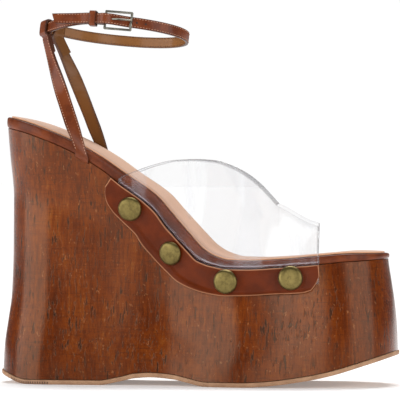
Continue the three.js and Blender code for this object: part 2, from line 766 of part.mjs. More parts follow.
// Studs: domes on a shank that goes through band and vamp into the cork
function studPlace(side, stud) {
  const face = (along, across) => bandPoint(side, stud.at + (along * STUD_RADIUS) / (BAND_FRONT - BAND_REAR),
    stud.down + (across * STUD_RADIUS) / BAND_DEPTH, BAND_THICKNESS);
  const centre = face(0, 0);
  const axis = face(0.8, 0).sub(face(-0.8, 0)).cross(face(0, 0.8).sub(face(0, -0.8))).normalize();
  if (axis.y * side < 0) axis.negate();
  let highest = 0;
  for (let i = 0; i < 16; i += 1) {
    const angle = (Math.PI * i) / 8;
    highest = Math.max(highest, face(Math.cos(angle), Math.sin(angle)).sub(centre).dot(axis));
  }
  return { centre: centre.addScaledVector(axis, highest + GAP), axis };
}

function shankHoles(studPoints) {
  return studPoints.map(({ centre, axis }) =>
    rod(SHANK_RADIUS + GAP, -SHANK_DEPTH - GAP, STUD_RADIUS, centre, axis));
}

function studBody({ centre, axis }) {
  const profile = [
    [0, -SHANK_DEPTH],
    [SHANK_RADIUS, -SHANK_DEPTH],
    [SHANK_RADIUS, 0],
    [STUD_RADIUS, 0],
    [STUD_RADIUS, STUD_EDGE],
    [STUD_RADIUS * 0.72, STUD_EDGE + STUD_DOME * 0.7],
    [0, STUD_EDGE + STUD_DOME],
  ];
  return turned(profile, 12, centre, axis);
}

// Ankle ring: middle line of the strap, a closed curve from the back round by the outer side
const RING = makeRing();
const RING_NORMAL = new THREE.Vector3(RING_PITCH, RING_ROLL, 1).normalize();

function makeRing() {
  const count = 40;
  const middle = (RING_BACK + RING_FRONT) / 2;
  const reach = (RING_FRONT - RING_BACK) / 2;
  const power = (value, exponent) => Math.sign(value) * Math.abs(value) ** exponent;
  const points = [];
  for (let i = 0; i < count; i += 1) {
    const angle = (2 * Math.PI * i) / count;
    const toBack = smooth(-0.5, 0.8, Math.cos(angle));
    const roundness = blend(RING_FRONT_ROUNDNESS, RING_BACK_ROUNDNESS, toBack);
    const x = middle - reach * power(Math.cos(angle), 2 / roundness);
    const behind = Math.max(0, middle - x) / reach;
    const half = RING_HALF_WIDTH * (1 - RING_TAPER * behind ** RING_TAPER_POWER);
    const y = -half * power(Math.sin(angle), 2 / roundness);
    const outerShare = 1 - smooth(-RING_HALF_WIDTH / 2, RING_HALF_WIDTH / 2, y);
    const dip = RING_DIP * smooth(0.15, 1.1, behind) * outerShare;
    points.push(new THREE.Vector3(x, y, RING_HEIGHT - RING_PITCH * (x - middle) - RING_ROLL * y - dip));
  }
  return new THREE.CatmullRomCurve3(points, true, 'centripetal');
}

const wrapped = (share) => share - Math.floor(share);

// Place on the strap: a share of the ring, moved out by a distance and up by another
function strapPlace(share, out = 0, up = 0) {
  const centre = RING.getPointAt(wrapped(share));
  const along = RING.getTangentAt(wrapped(share));
  const across = RING_NORMAL.clone().addScaledVector(along, -RING_NORMAL.dot(along)).normalize();
  const outward = along.clone().cross(across).normalize();
  const ringMiddle = new THREE.Vector3((RING_BACK + RING_FRONT) / 2, 0, RING_HEIGHT);
  if (outward.dot(centre.clone().sub(ringMiddle)) < 0) outward.negate();
  centre.addScaledVector(outward, out).addScaledVector(across, up);
  return { centre, along, across, out: outward };
}

// Share of the ring at a place along the sole, on the outer side
function ringShareAt(x) {
  let low = 0.04;
  let high = 0.46;
  for (let pass = 0; pass < 40; pass += 1) {
    const middle = (low + high) / 2;
    if (RING.getPointAt(middle).x < x) low = middle;
    else high = middle;
  }
  return low;
}

const RING_LENGTH = RING.getLength();
const REAR_BAR = ringShareAt(BUCKLE_PLACE);
const BAR_SPACING = BUCKLE_LENGTH - BUCKLE_BAR;
const LAYER = STRAP_THICKNESS + GAP;
const BAR_HOLE = BUCKLE_BAR * Math.SQRT1_2 + GAP;

// Outward lift of the strap's long end, which lies over its short end behind the buckle
function overlapAt(share) {
  const ahead = ((share - REAR_BAR) * RING_LENGTH) / BUCKLE_LENGTH;
  return {
    out: LAYER * look(OVERLAP, 'ahead', 'layers', ahead),
    up: STRAP_WIDTH * look(OVERLAP, 'ahead', 'rise', ahead),
  };
}

// The buckle's own directions: along from the rear bar to the front bar
function buckleFrame() {
  const rear = strapPlace(REAR_BAR);
  const front = strapPlace(REAR_BAR + BAR_SPACING / RING_LENGTH, LAYER + JOIN / 4);
  const along = front.centre.clone().sub(rear.centre).normalize();
  const across = rear.across.clone().addScaledVector(along, -rear.across.dot(along)).normalize();
  return { origin: rear.centre, along, across, out: along.clone().cross(across) };
}

function buckleMatrix(frame) {
  const turn = new THREE.Matrix4().makeBasis(frame.along, frame.across, frame.out);
  return turn.setPosition(frame.origin);
}

function roundedRectangle(path, length, width, corner, middle) {
  const left = middle - length / 2;
  const right = middle + length / 2;
  const top = width / 2;
  path.moveTo(left + corner, -top);
  path.lineTo(right - corner, -top);
  path.absarc(right - corner, -top + corner, corner, -Math.PI / 2, 0, false);
  path.lineTo(right, top - corner);
  path.absarc(right - corner, top - corner, corner, 0, Math.PI / 2, false);
  path.lineTo(left + corner, top);
  path.absarc(left + corner, top - corner, corner, Math.PI / 2, Math.PI, false);
  path.lineTo(left, -top + corner);
  path.absarc(left + corner, -top + corner, corner, Math.PI, 1.5 * Math.PI, false);
  return path;
}

function buckleRing() {
  const middle = BAR_SPACING / 2;
  const shape = roundedRectangle(new THREE.Shape(), BUCKLE_LENGTH, BUCKLE_WIDTH, BUCKLE_CORNER, middle);
  const hole = roundedRectangle(new THREE.Path(), BUCKLE_LENGTH - 2 * BUCKLE_BAR,
    BUCKLE_WIDTH - 2 * BUCKLE_BAR, BUCKLE_CORNER / 3, middle);
  shape.holes.push(hole);
  const settings = { depth: BUCKLE_BAR, bevelEnabled: false, curveSegments: 3 };
  const geometry = new THREE.ExtrudeGeometry(shape, settings);
  geometry.translate(0, 0, -BUCKLE_BAR / 2);
  geometry.applyMatrix4(buckleMatrix(buckleFrame()));
  return geometry;
}

function prongRod(radius) {
  const frame = buckleFrame();
  const places = PRONG_PATH.map(({ ahead, out }) => frame.origin.clone()
    .addScaledVector(frame.along, BAR_SPACING * ahead)
    .addScaledVector(frame.out, STRAP_THICKNESS * out));
  const curve = new THREE.CatmullRomCurve3(places, false, 'centripetal');
  const count = 7;
  const sides = 6;
  const sections = [];
  for (let i = 0; i <= count; i += 1) {
    const centre = curve.getPointAt(i / count);
    const rise = curve.getTangentAt(i / count).cross(frame.across).normalize();
    const ring = [];
    for (let j = 0; j < sides; j += 1) {
      const angle = (2 * Math.PI * j) / sides;
      ring.push(centre.clone().addScaledVector(frame.across, radius * Math.cos(angle))
        .addScaledVector(rise, radius * Math.sin(angle)));
    }
    sections.push(ring);
  }
  return sweep(sections);
}

function bucklePin() {
  const frame = buckleFrame();
  const half = PRONG_EYE_WIDTH / 2;
  const wall = BAR_HOLE + PRONG_EYE_WALL;
  const profile = [[BAR_HOLE, -half], [wall, -half], [wall, half], [BAR_HOLE, half], [BAR_HOLE, -half]];
  const eye = turned(profile, 14, frame.origin, frame.across);
  return cutBy(joined(eye, prongRod(PRONG_RADIUS)),
    [rod(BAR_HOLE, -half - 1, half + 1, frame.origin, frame.across, 14)]);
}

function ankleStrap() {
  const start = REAR_BAR - TAIL_LENGTH / RING_LENGTH;
  const single = REAR_BAR + BUCKLE_LENGTH / RING_LENGTH;
  const end = 1 + REAR_BAR - JOIN / RING_LENGTH;
  const overlapCount = 20;
  const singleCount = 36;
  const shares = [];
  for (let i = 0; i < overlapCount; i += 1) shares.push(blend(start, single, i / overlapCount));
  for (let i = 0; i <= singleCount; i += 1) shares.push(blend(single, end, i / singleCount));
  const sections = shares.map((share) => {
    const lift = share < single ? overlapAt(share) : { out: 0, up: 0 };
    return flatSection(strapPlace(share, lift.out, lift.up), STRAP_WIDTH, STRAP_THICKNESS);
  });
  slantTip(sections[0], strapPlace(start));
  const frame = buckleFrame();
  const half = STRAP_WIDTH / 2;
  const eye = rod(BAR_HOLE + EYE_WALL, -half, half, frame.origin, frame.across, 16);
  const slot = slotBlock(frame);
  const hole = rod(BAR_HOLE, -half - 1, half + 1, frame.origin, frame.across, 14);
  return cutBy(joined(sweep(sections), eye), [hole, slot, prongRod(PRONG_RADIUS + GAP)]);
}

// The free tip is cut at a slant, its upper corner longest
function slantTip(section, place) {
  for (const point of section) {
    const height = point.clone().sub(place.centre).dot(place.across) / (STRAP_WIDTH / 2);
    point.addScaledVector(place.along, (-TIP_SLANT * height) / 2);
  }
}

// Room for the prong's eye in the leather round the rear bar
function slotBlock(frame) {
  const reach = BAR_HOLE + EYE_WALL + SLOT_MARGIN;
  const block = new THREE.BoxGeometry(2 * reach + 3 * SLOT_MARGIN, PRONG_EYE_WIDTH + 2 * GAP, 2 * reach);
  block.applyMatrix4(buckleMatrix(frame));
  return block;
}

// Keeper: a leather loop round both layers of the strap behind the buckle
function strapKeeper() {
  const middle = ringShareAt(KEEPER_PLACE);
  const half = KEEPER_WIDTH / 2 / RING_LENGTH;
  const outer = [];
  const inner = [];
  const layers = LAYER + STRAP_THICKNESS;
  for (const share of [middle - half, middle, middle + half]) {
    const lift = overlapAt(share);
    const place = strapPlace(share, lift.out / 2);
    const room = layers + lift.out - LAYER + 2 * GAP;
    const width = STRAP_WIDTH + 2 * (GAP + KEEPER_THICKNESS);
    outer.push(flatSection(place, width, room + 2 * KEEPER_THICKNESS, 0.2));
    inner.push(flatSection(place, STRAP_WIDTH + 2 * GAP, room, 0.05));
  }
  return sleeve(outer, inner);
}

// Sling: tab between board and cork, leg up to the ankle, and a loop round the strap
function slingLeg(side, tabOnly, ease) {
  const seat = SLING_SEAT + (side > 0 ? SLING_STAGGER : 0);
  const slope = toplineSlope(seat);
  const grain = new THREE.Vector3(Math.cos(slope), 0, -Math.sin(slope));
  const corners = [-0.5, 0, 0.5].map((step) =>
    side * boardEdge(seat + step * SLING_WIDTH, side, BOARD_BULGE + GAP + SLING_THICKNESS / 2));
  const face = side * Math.max(...corners);
  const seam = corkTop(seat);
  const tab = { inward: (SLING_TAB + ease) / SLING_THICKNESS, up: SLING_BEND[0].up, turn: 0 };
  const places = [tab, ...SLING_BEND].map(({ inward, up, turn }) => {
    const angle = (turn * Math.PI) / 2;
    const down = new THREE.Vector3(-Math.sin(slope), 0, -Math.cos(slope));
    const out = new THREE.Vector3(0, side * Math.sin(angle), 0).addScaledVector(down, Math.cos(angle));
    const y = face - side * SLING_THICKNESS * inward;
    const centre = new THREE.Vector3(seat, y, seam + SLING_THICKNESS * up);
    return { centre, across: grain, out, width: SLING_WIDTH * SLING_FOOT_SPREAD + 2 * ease };
  });
  if (!tabOnly) places.push(...slingRise(side, places[places.length - 1], grain));
  const thickness = SLING_THICKNESS + 2 * ease;
  return sweep(places.map((place) => flatSection(place, place.width, thickness, 0.25)));
}

function slingRise(side, foot, grain) {
  const loop = loopPlace(side);
  const intoWall = STRAP_WIDTH / 2 + GAP + LOOP_WALL * 0.6;
  const top = loop.centre.clone().addScaledVector(loop.across, -intoWall);
  const headLean = side < 0 ? OUTER_HEAD_LEAN : INNER_HEAD_LEAN;
  const footPull = new THREE.Vector3(-FOOT_LEAN, 0, 1).multiplyScalar(FOOT_PULL);
  const headPull = new THREE.Vector3(headLean, side * HEAD_SPLAY, -1).multiplyScalar(HEAD_PULL);
  const curve = new THREE.CubicBezierCurve3(
    foot.centre,
    foot.centre.clone().add(footPull),
    top.clone().add(headPull),
    top,
  );
  const count = 9;
  const places = [];
  for (let i = 1; i <= count; i += 1) {
    const share = i / count;
    const centre = curve.getPoint(share);
    const along = curve.getTangent(share);
    const across = grain.clone().lerp(loop.along.clone().multiplyScalar(-side), smooth(0.3, 1, share));
    const square = smooth(0, 0.35, share) * (1 - smooth(0.6, 1, share));
    across.normalize().addScaledVector(along, -across.dot(along) * square).normalize();
    const out = across.clone().cross(along).normalize();
    if (out.y * side < 0) out.negate();
    const width = SLING_WIDTH * blend(SLING_FOOT_SPREAD, 1, smooth(0, 0.35, share));
    places.push({ centre, across, out, width });
  }
  return places;
}

const loopShare = (side) => (side < 0 ? OUTER_LOOP_PLACE : INNER_LOOP_PLACE);
const loopPlace = (side) => strapPlace(loopShare(side));

function sling(side) {
  const outer = [];
  const inner = [];
  const half = SLING_WIDTH / 2 / RING_LENGTH;
  const grown = 2 * (GAP + LOOP_WALL);
  for (const step of [-1, -0.33, 0.33, 1]) {
    const place = strapPlace(loopShare(side) + step * half);
    outer.push(flatSection(place, STRAP_WIDTH + grown, STRAP_THICKNESS + grown, 0.25));
    inner.push(flatSection(place, STRAP_WIDTH + 2 * GAP, STRAP_THICKNESS + 2 * GAP, 0.2));
  }
  return joined(slingLeg(side, false, 0), sleeve(outer, inner));
}

// Materials
const material = (color, roughness, metalness = 0) =>
  new THREE.MeshStandardMaterial({ color, roughness, metalness });

const MATERIALS = {
  outsole: material(0xb98a5c, 0.6),
  cork: material(0x82411e, 0.45),
  leather: material(0x6f3516, 0.4),
  sock: material(0xd7a587, 0.6),
  strap: material(0x824b32, 0.45),
  studs: material(0x8c7d46, 0.35, 1),
  metal: material(0x64645a, 0.4, 1),
  clear: material(0xf4f4f8, 0.1),
};

MATERIALS.clear.transparent = true;
MATERIALS.clear.opacity = 0.3;

// Assembly
function piece(name, geometry, surface) {
  const bare = new THREE.BufferGeometry();
  bare.setAttribute('position', geometry.getAttribute('position'));
  if (geometry.index) bare.setIndex(geometry.index);
  const mesh = new THREE.Mesh(bare, surface);
  mesh.name = name;
  return mesh;
}

function sandal() {
  const group = new THREE.Group();
  const places = {};
  for (const side of [-1, 1]) places[side] = STUDS.map((stud) => studPlace(side, stud));
  const allPlaces = [...places[-1], ...places[1]];
  const pockets = [-1, 1].map((side) => slingLeg(side, true, GAP));
  group.add(piece('outsole', outsole(), MATERIALS.outsole));
  group.add(piece('cork_wedge', cutBy(corkWedge(), [...shankHoles(allPlaces), ...pockets]), MATERIALS.cork));
  group.add(piece('insole_board', insoleBoard(), MATERIALS.leather));
  group.add(piece('sock_lining', sockLining(), MATERIALS.sock));
  group.add(piece('clear_vamp', clearVamp(allPlaces), MATERIALS.clear));
  for (const side of [-1, 1]) {
    const name = side < 0 ? 'outer' : 'inner';
    group.add(piece(`band_${name}`, sideBand(side, places[side]), MATERIALS.leather));
    places[side].forEach((place, i) => {
      group.add(piece(`stud_${name}_${i + 1}`, studBody(place), MATERIALS.studs));
    });
    group.add(piece(`sling_${name}`, sling(side), MATERIALS.strap));
  }
  group.add(piece('ankle_strap', ankleStrap(), MATERIALS.strap));
  group.add(piece('strap_keeper', strapKeeper(), MATERIALS.strap));
  group.add(piece('buckle_frame', buckleRing(), MATERIALS.metal));
  group.add(piece('buckle_prong', bucklePin(), MATERIALS.metal));
  group.position.x = -HEEL_REST;
  return group;
}

export default sandal();
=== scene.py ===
"""Looks of the right platform wedge sandal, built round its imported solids.

Sizes are in millimetres along the sole, as the solids have them, and every mesh is made in metres
with the origin at the heel's flat spot. X runs from heel to toe, Y to the inner side, Z up.
"""

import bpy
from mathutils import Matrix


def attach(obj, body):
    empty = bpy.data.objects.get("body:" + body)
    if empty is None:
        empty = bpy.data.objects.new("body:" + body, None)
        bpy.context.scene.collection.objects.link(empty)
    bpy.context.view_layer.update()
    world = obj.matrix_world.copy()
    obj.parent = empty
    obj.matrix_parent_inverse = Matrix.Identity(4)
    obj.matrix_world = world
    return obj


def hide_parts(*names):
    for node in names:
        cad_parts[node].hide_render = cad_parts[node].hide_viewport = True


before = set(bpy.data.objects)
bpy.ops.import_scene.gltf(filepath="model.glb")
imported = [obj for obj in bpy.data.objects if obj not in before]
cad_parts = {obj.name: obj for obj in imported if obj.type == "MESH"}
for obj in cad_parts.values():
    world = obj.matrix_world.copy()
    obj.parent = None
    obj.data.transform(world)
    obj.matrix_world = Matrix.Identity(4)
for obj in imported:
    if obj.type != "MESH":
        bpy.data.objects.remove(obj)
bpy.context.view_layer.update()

import math
from functools import partial

import bmesh
import bpy
import numpy as np
from mathutils import Matrix, Vector

# Sizes of the sole and the board
GAP = 0.3
SOLE_LENGTH = 235.5
SOLE_HALF_WIDTH = 47
HEEL_HEIGHT = 158.2
PLATFORM_HEIGHT = 73.7
HEEL_LIFT = 5.3
ARCH_LIFT = 4.9
TOE_SPRING = 18
HEEL_ROUND = 30
TOE_ROUND = 40
HEEL_SQUARENESS = 2.2
TOE_SQUARENESS = 2.6
TOE_LEAN = 4
FLARE = 5.8
OUTSOLE_THICKNESS = 2.7
OUTSOLE_LIP = 0.8
OUTSOLE_EDGE = 0.6
GROOVE_RANGE = (9, 33)
GROOVE_PITCH = 1.5
GROOVE_SIZE = (0.06, 0.65, 1.5)
BOARD_THICKNESS = 7.4
BOARD_BULGE = 0.6
SOCK_THICKNESS = 0.8
SOCK_INSET = 2.2
HEEL_REST = 40.63
SLAB_STATIONS = 170

# Sizes of the clear vamp, the bands and the studs
VAMP_THICKNESS = 2
VAMP_REAR = 70.4
VAMP_NOTCH = 164.1
VAMP_FRONT = 189.1
INSTEP_RISE = 75
EDGE_HEIGHT = 134
EDGE_START = 2.4
VAMP_ROUNDNESS = 2.2
VAMP_SKEW = math.radians(7)
SKIRT_DEPTH = 11
THROAT_SPREAD = 0.985
SKIRT_ROWS = 5
FOOT_ROWS = 9
ARCH_ROWS = 30
THROAT_COLUMNS = 61
CLOSED_COLUMNS = 19
BAND_THICKNESS = 1.5
BAND_DEPTH = 17
BAND_REAR = 66.3
BAND_FRONT = 189.4
BAND_LENGTH = BAND_FRONT - BAND_REAR
BAND_COLUMNS = 150
STUD_RADIUS = 7.2
PRESSED_DEPTH = 0.35
PRESSED_WIDTH = 1.6

# Sizes of the ankle strap, the buckle and the slings
STRAP_WIDTH = 6.4
STRAP_THICKNESS = 1.8
RING_BACK = 23.2
RING_FRONT = 109.8
RING_HALF_WIDTH = 30.5
RING_HEIGHT = 210
RING_PITCH = 0.09
RING_ROLL = 0.172
RING_DIP = 5.6
RING_TAPER = 0.36
RING_TAPER_POWER = 2.6
RING_ROUNDNESS = (2.1, 2.9)
BUCKLE_PLACE = 65.8
BUCKLE_LENGTH = 16.8
TAIL_LENGTH = 28.6
TIP_SLANT = 2.2
KEEPER_PLACE = 58.8
KEEPER_WIDTH = 4
KEEPER_THICKNESS = 1
SLING_WIDTH = 8
SLING_THICKNESS = 1.6
SLING_SEAT = 52.2
SLING_STAGGER = 2.7
SLING_FOOT_SPREAD = 1.12
FOOT_PULL = 14
FOOT_LEAN = 0.32
HEAD_PULL = 24
HEAD_LEAN = {-1: 0.29, 1: 0.46}
HEAD_SPLAY = 0.21
LOOP_WALL = 1.4
LOOP_PLACE = {-1: 0.06, 1: 0.93}
SIDE_NAME = {-1: "outer", 1: "inner"}
STITCH_SIZE = (1.1, 0.42, 0.36)
STITCH_PITCH = 1.75
STRAP_STITCH_INSET = 0.85
SLING_STITCH_INSET = 0.95


class Table:
    """Rows of sizes along the shoe, read by a monotone cubic between them."""

    def __init__(self, columns, *rows):
        values = np.array(rows, float).T
        self.at = values[0]
        self.columns = dict(zip(columns.split(), values[1:]))

    def read(self, column, place):
        at, rows = self.at, self.columns[column]
        place = np.clip(np.asarray(place, float), at[0], at[-1])
        slope = np.diff(rows) / np.diff(at)
        before, after = slope[:-1], slope[1:]
        turning = before * after <= 0
        mean = 2 * before * after / np.where(turning, 1, before + after)
        tangent = np.concatenate([slope[:1], np.where(turning, 0, mean), slope[-1:]])
        index = np.clip(np.searchsorted(at, place, side="right") - 1, 0, len(at) - 2)
        span = at[index + 1] - at[index]
        t = (place - at[index]) / span
        rest = 1 - t
        return (
            rows[index] * (1 + 2 * t) * rest**2 + tangent[index] * span * t * rest**2
            + rows[index + 1] * t * t * (3 - 2 * t) - tangent[index + 1] * span * t * t * rest
        )


UNDERSIDE = Table(
    "heel arch toe", (0, 1, 0, 0), (0.031, 0.55, 0, 0), (0.058, 0.15, 0, 0), (0.08, 0, 0, 0),
    (0.265, 0, 0, 0), (0.32, 0, 0.46, 0), (0.358, 0, 0.87, 0), (0.4, 0, 1, 0), (0.458, 0, 0.8, 0),
    (0.491, 0, 0.46, 0), (0.545, 0, 0, 0), (0.63, 0, 0, 0), (0.692, 0, 0, 0.045),
    (0.787, 0, 0, 0.21), (0.85, 0, 0, 0.38), (0.94, 0, 0, 0.74), (1, 0, 0, 1),
)
TOPLINE = Table(
    "rise board", (0, 1.006, 0.83), (0.07, 0.964, 0.83), (0.14, 0.897, 0.81), (0.2, 0.824, 0.8),
    (0.27, 0.716, 0.82), (0.33, 0.601, 0.9), (0.41, 0.449, 1), (0.45, 0.327, 1),
    (0.5, 0.173, 0.95), (0.53, 0.086, 0.85), (0.56, 0.034, 0.73), (0.6, 0.004, 0.64),
    (0.65, 0.001, 0.62), (0.72, 0.011, 0.6), (0.82, 0.036, 0.64), (0.9, 0.053, 0.6),
    (1, 0.051, 0.3),
)
PLAN = Table(
    "outer inner", (0, 0.64, 0.64), (0.08, 0.68, 0.68), (0.15, 0.7, 0.7), (0.25, 0.7, 0.69),
    (0.35, 0.69, 0.64), (0.42, 0.72, 0.62), (0.5, 0.81, 0.7), (0.57, 0.92, 0.8),
    (0.64, 0.99, 0.88), (0.72, 1, 0.925), (0.8, 0.98, 0.93), (0.9, 0.915, 0.9), (1, 0.83, 0.85),
)
WALL = Table(
    "heel toe", (0, 0, 0), (0.1, 0.12, 0.03), (0.2, 0.45, 0.07), (0.32, 0.83, 0.14),
    (0.5, 0.98, 0.31), (0.72, 1, 0.61), (0.9, 0.6, 0.88), (1, 0.41, 1),
)
THROAT = Table(
    "edge last", (0, 0.908, 0.83), (0.042, 0.925, 0.84), (0.114, 0.945, 0.86),
    (0.23, 0.974, 0.88), (0.356, 0.995, 0.93), (0.488, 1, 0.987), (0.603, 0.995, 1),
    (0.716, 0.969, 0.907), (0.816, 0.929, 0.757), (0.892, 0.885, 0.637), (0.945, 0.847, 0.54),
    (1, 0.805, 0.424),
)
CROWN = Table("last", (0, 0.424), (0.24, 0.379), (0.48, 0.325), (0.7, 0.279), (1, 0.233))
BAND_OUTLINE = Table(
    "depth", (0, 0.36), (0.02, 0.62), (0.045, 0.8), (0.09, 0.97), (0.16, 1.06), (0.3, 1.1),
    (0.4, 1.07), (0.5, 0.98), (0.6, 0.92), (0.75, 0.89), (0.9, 0.92), (0.95, 0.86),
    (0.98, 0.64), (1, 0.36),
)
BAND_STANDING = Table(
    "vamp bulge", (0, 1.36, 1), (0.25, 1.36, 0), (0.74, 1.36, 0), (0.9, 0.4, 0), (1, 0.12, 0),
)
STUD_PROFILE = [
    (0, 3.05), (1.5, 3.03), (3, 2.95), (4.3, 2.8), (5.3, 2.58), (6, 2.3), (6.5, 1.95), (6.85, 1.5),
    (7.1, 0.95), (7.2, 0.45), (7.1, 0.1), (6.8, -0.25), (0, -0.25),
]
HOLE_PROFILE = [(0, 0.03), (0.5, 0.03), (0.62, 0), (0.62, -0.1), (0, -0.1)]
STUDS = [(0.128, 0.465), (0.338, 0.462), (0.564, 0.424), (0.863, 0.376)]
OVERLAP = Table(
    "layers rise", (-2, 4.2, 0.3), (-1.6, 2.9, 0.17), (-1.1, 1.5, 0.03), (-0.75, 1.03, 0),
    (-0.24, 1.03, 0), (-0.05, 1.85, 0), (0.15, 1.8, 0), (0.45, 1, 0), (0.75, 0.16, 0), (0.9, 0, 0),
)
SLING_BEND = [(1.4, -0.7), (0.44, -0.4), (0.06, 0.13), (0, 1.2)]
LOOP_TURN = [
    (0.75, -1, 0.3), (1, -0.6, 0), (1, 0.6, 0), (0.7, 1, -0.1), (0, 1, 0.15), (-0.7, 1, -0.1),
    (-1, 0.6, 0), (-1, -0.6, 0), (-0.8, -1, -0.4),
]


def smooth(low, high, value):
    t = np.clip((np.asarray(value, float) - low) / (high - low), 0, 1)
    return t * t * (3 - 2 * t)


def mixed(start, end, share):
    return start + (end - start) * share


def closer_at_ends(count):
    """Shares from 0 to 1 in so many steps, shorter towards both ends."""
    return (1 - np.cos(np.pi * np.arange(count + 1) / count)) / 2


def norm(vectors):
    return np.linalg.norm(vectors, axis=-1)


def unit(vectors):
    return vectors / np.maximum(norm(vectors)[..., None], 1e-12)


def run_along(points):
    """Length along a path up to each of its points."""
    return np.concatenate([[0], np.cumsum(norm(np.diff(points, axis=0)))])


def points_at(want, run, points):
    return np.stack([np.interp(want, run, column) for column in points.T], -1)


# Lines and outlines of the sole
def underside(x):
    at = x / SOLE_LENGTH
    return (
        HEEL_LIFT * UNDERSIDE.read("heel", at) + ARCH_LIFT * UNDERSIDE.read("arch", at)
        + TOE_SPRING * UNDERSIDE.read("toe", at)
    )


def board_top(x):
    return PLATFORM_HEIGHT + (HEEL_HEIGHT - PLATFORM_HEIGHT) * TOPLINE.read("rise", x / SOLE_LENGTH)


def topline_slope(x):
    return np.arctan2(board_top(x - 2) - board_top(x + 2), 4)


def board_depth(x):
    return BOARD_THICKNESS * TOPLINE.read("board", x / SOLE_LENGTH) / np.cos(topline_slope(x))


def cork_top(x):
    return board_top(x) - board_depth(x) - GAP


def below_cork_top(x, depth):
    top = x
    for _ in range(12):
        top = x + depth * np.sin(topline_slope(top))
    return cork_top(top) - depth * np.cos(topline_slope(top))


def cork_foot(x):
    return underside(x) + OUTSOLE_THICKNESS + GAP


def plan_limits(up, grow):
    return FLARE * WALL.read("heel", up) - grow, SOLE_LENGTH - FLARE * WALL.read("toe", up) + grow


def end_rounding(share):
    heel, toe = HEEL_ROUND / SOLE_LENGTH, TOE_ROUND / SOLE_LENGTH
    back = (1 - np.clip(1 - share / heel, 0, 1) ** HEEL_SQUARENESS) ** (1 / HEEL_SQUARENESS)
    front = (1 - np.clip(1 - (1 - share) / toe, 0, 1) ** TOE_SQUARENESS) ** (1 / TOE_SQUARENESS)
    return back * front


def plan_edge(share, side, up, grow):
    forefoot = smooth(0.35, 0.75, share)
    drawn_in = mixed(WALL.read("heel", up), WALL.read("toe", up), forefoot)
    half = SOLE_HALF_WIDTH * PLAN.read(SIDE_NAME[side], share) - FLARE * drawn_in + grow
    return TOE_LEAN * smooth(0.5, 1, share) + side * half * end_rounding(np.clip(share, 0, 1))


def edge_at(x, up, side, grow):
    rear, front = plan_limits(up, 0)
    return plan_edge((x - rear) / (front - rear), side, up, grow)


def wall_edge(x, z, side, grow=0):
    foot = cork_foot(x)
    return edge_at(x, np.clip((z - foot) / (cork_top(x) - foot), 0, 1), side, grow)


def beside_sole(place, height, edge):
    x = place
    for _ in range(4):
        y = edge(x, height(x))
        x = place - y * math.tan(VAMP_SKEW)
    return np.stack(np.broadcast_arrays(x, y, height(x)), -1)


# Meshes
def linked(name, data):
    """New object of the scene that holds a mesh, a light or the camera's lens."""
    made = bpy.data.objects.new(name, data)
    bpy.context.scene.collection.objects.link(made)
    return made


def to_object(name, points, faces, values=None, sharp=40):
    """Mesh object from points in millimetres, its doubles merged and its faces outward."""
    mesh = bpy.data.meshes.new(name)
    placed = (np.asarray(points, float) - [HEEL_REST, 0, 0]) / 1000
    mesh.from_pydata(placed.tolist(), [], [tuple(int(i) for i in face) for face in faces])
    for key, value in (values or {}).items():
        layer = mesh.attributes.new(key, "FLOAT", "POINT")
        layer.data.foreach_set("value", np.asarray(value, np.float32).ravel())
    body = bmesh.new()
    body.from_mesh(mesh)
    bmesh.ops.remove_doubles(body, verts=body.verts, dist=1e-6)
    bmesh.ops.dissolve_degenerate(body, edges=body.edges, dist=1e-7)
    bmesh.ops.recalc_face_normals(body, faces=body.faces)
    body.to_mesh(mesh)
    body.free()
    mesh.shade_smooth()
    mesh.set_sharp_from_angle(angle=math.radians(sharp))
    return linked(name, mesh)


def round_mesh(name, sections, values=None, caps=False, sharp=40):
    """Solid from a row of closed sections of equal count, its ends capped or run together."""
    rows, count = sections.shape[:2]
    index = np.arange(rows * count).reshape(rows, count)
    ahead = np.roll(index, -1, axis=1)
    faces = np.stack([index[:-1], ahead[:-1], ahead[1:], index[1:]], -1).reshape(-1, 4).tolist()
    if caps:
        faces += [index[0][::-1].tolist(), index[-1].tolist()]
    flat = {key: np.broadcast_to(value, (rows, count)) for key, value in (values or {}).items()}
    return to_object(name, sections.reshape(-1, 3), faces, flat, sharp)


def slab(levels, height, across=10):
    """Closed sections of a piece along the plan. levels hold up on the wall, grow and level."""
    share = closer_at_ends(SLAB_STATIONS)
    sides = {-1: [], 1: []}
    for up, grow, level in levels:
        rear, front = plan_limits(up, grow)
        x = mixed(rear, front, share)
        for side in sides:
            y = plan_edge(share, side, up, grow)
            sides[side].append(np.stack([x, y, height(x, level)], -1))
    steps = np.arange(1, across) / across
    top = [mixed(sides[-1][-1], sides[1][-1], step) for step in steps]
    bottom = [mixed(sides[1][0], sides[-1][0], step) for step in steps]
    return np.stack(sides[-1] + top + sides[1][::-1] + bottom, 1)


def strip_section(width, thickness, corner):
    """Points across and out of a leather strip, round its section."""
    face = np.linspace(-1, 1, 9)
    w, t = width / 2, thickness / 2
    turn = corner * (1 - math.sqrt(0.5))
    edge = [(w - turn, t - turn), (w, t - corner), (w, corner - t), (w - turn, turn - t)]
    outer = [(f * (w - corner), t - 0.06 * thickness * f * f) for f in face]
    inner = [(-f * (w - corner), -t) for f in face]
    other = [(-a, -o) for a, o in edge]
    return np.array(outer + edge + inner + other)


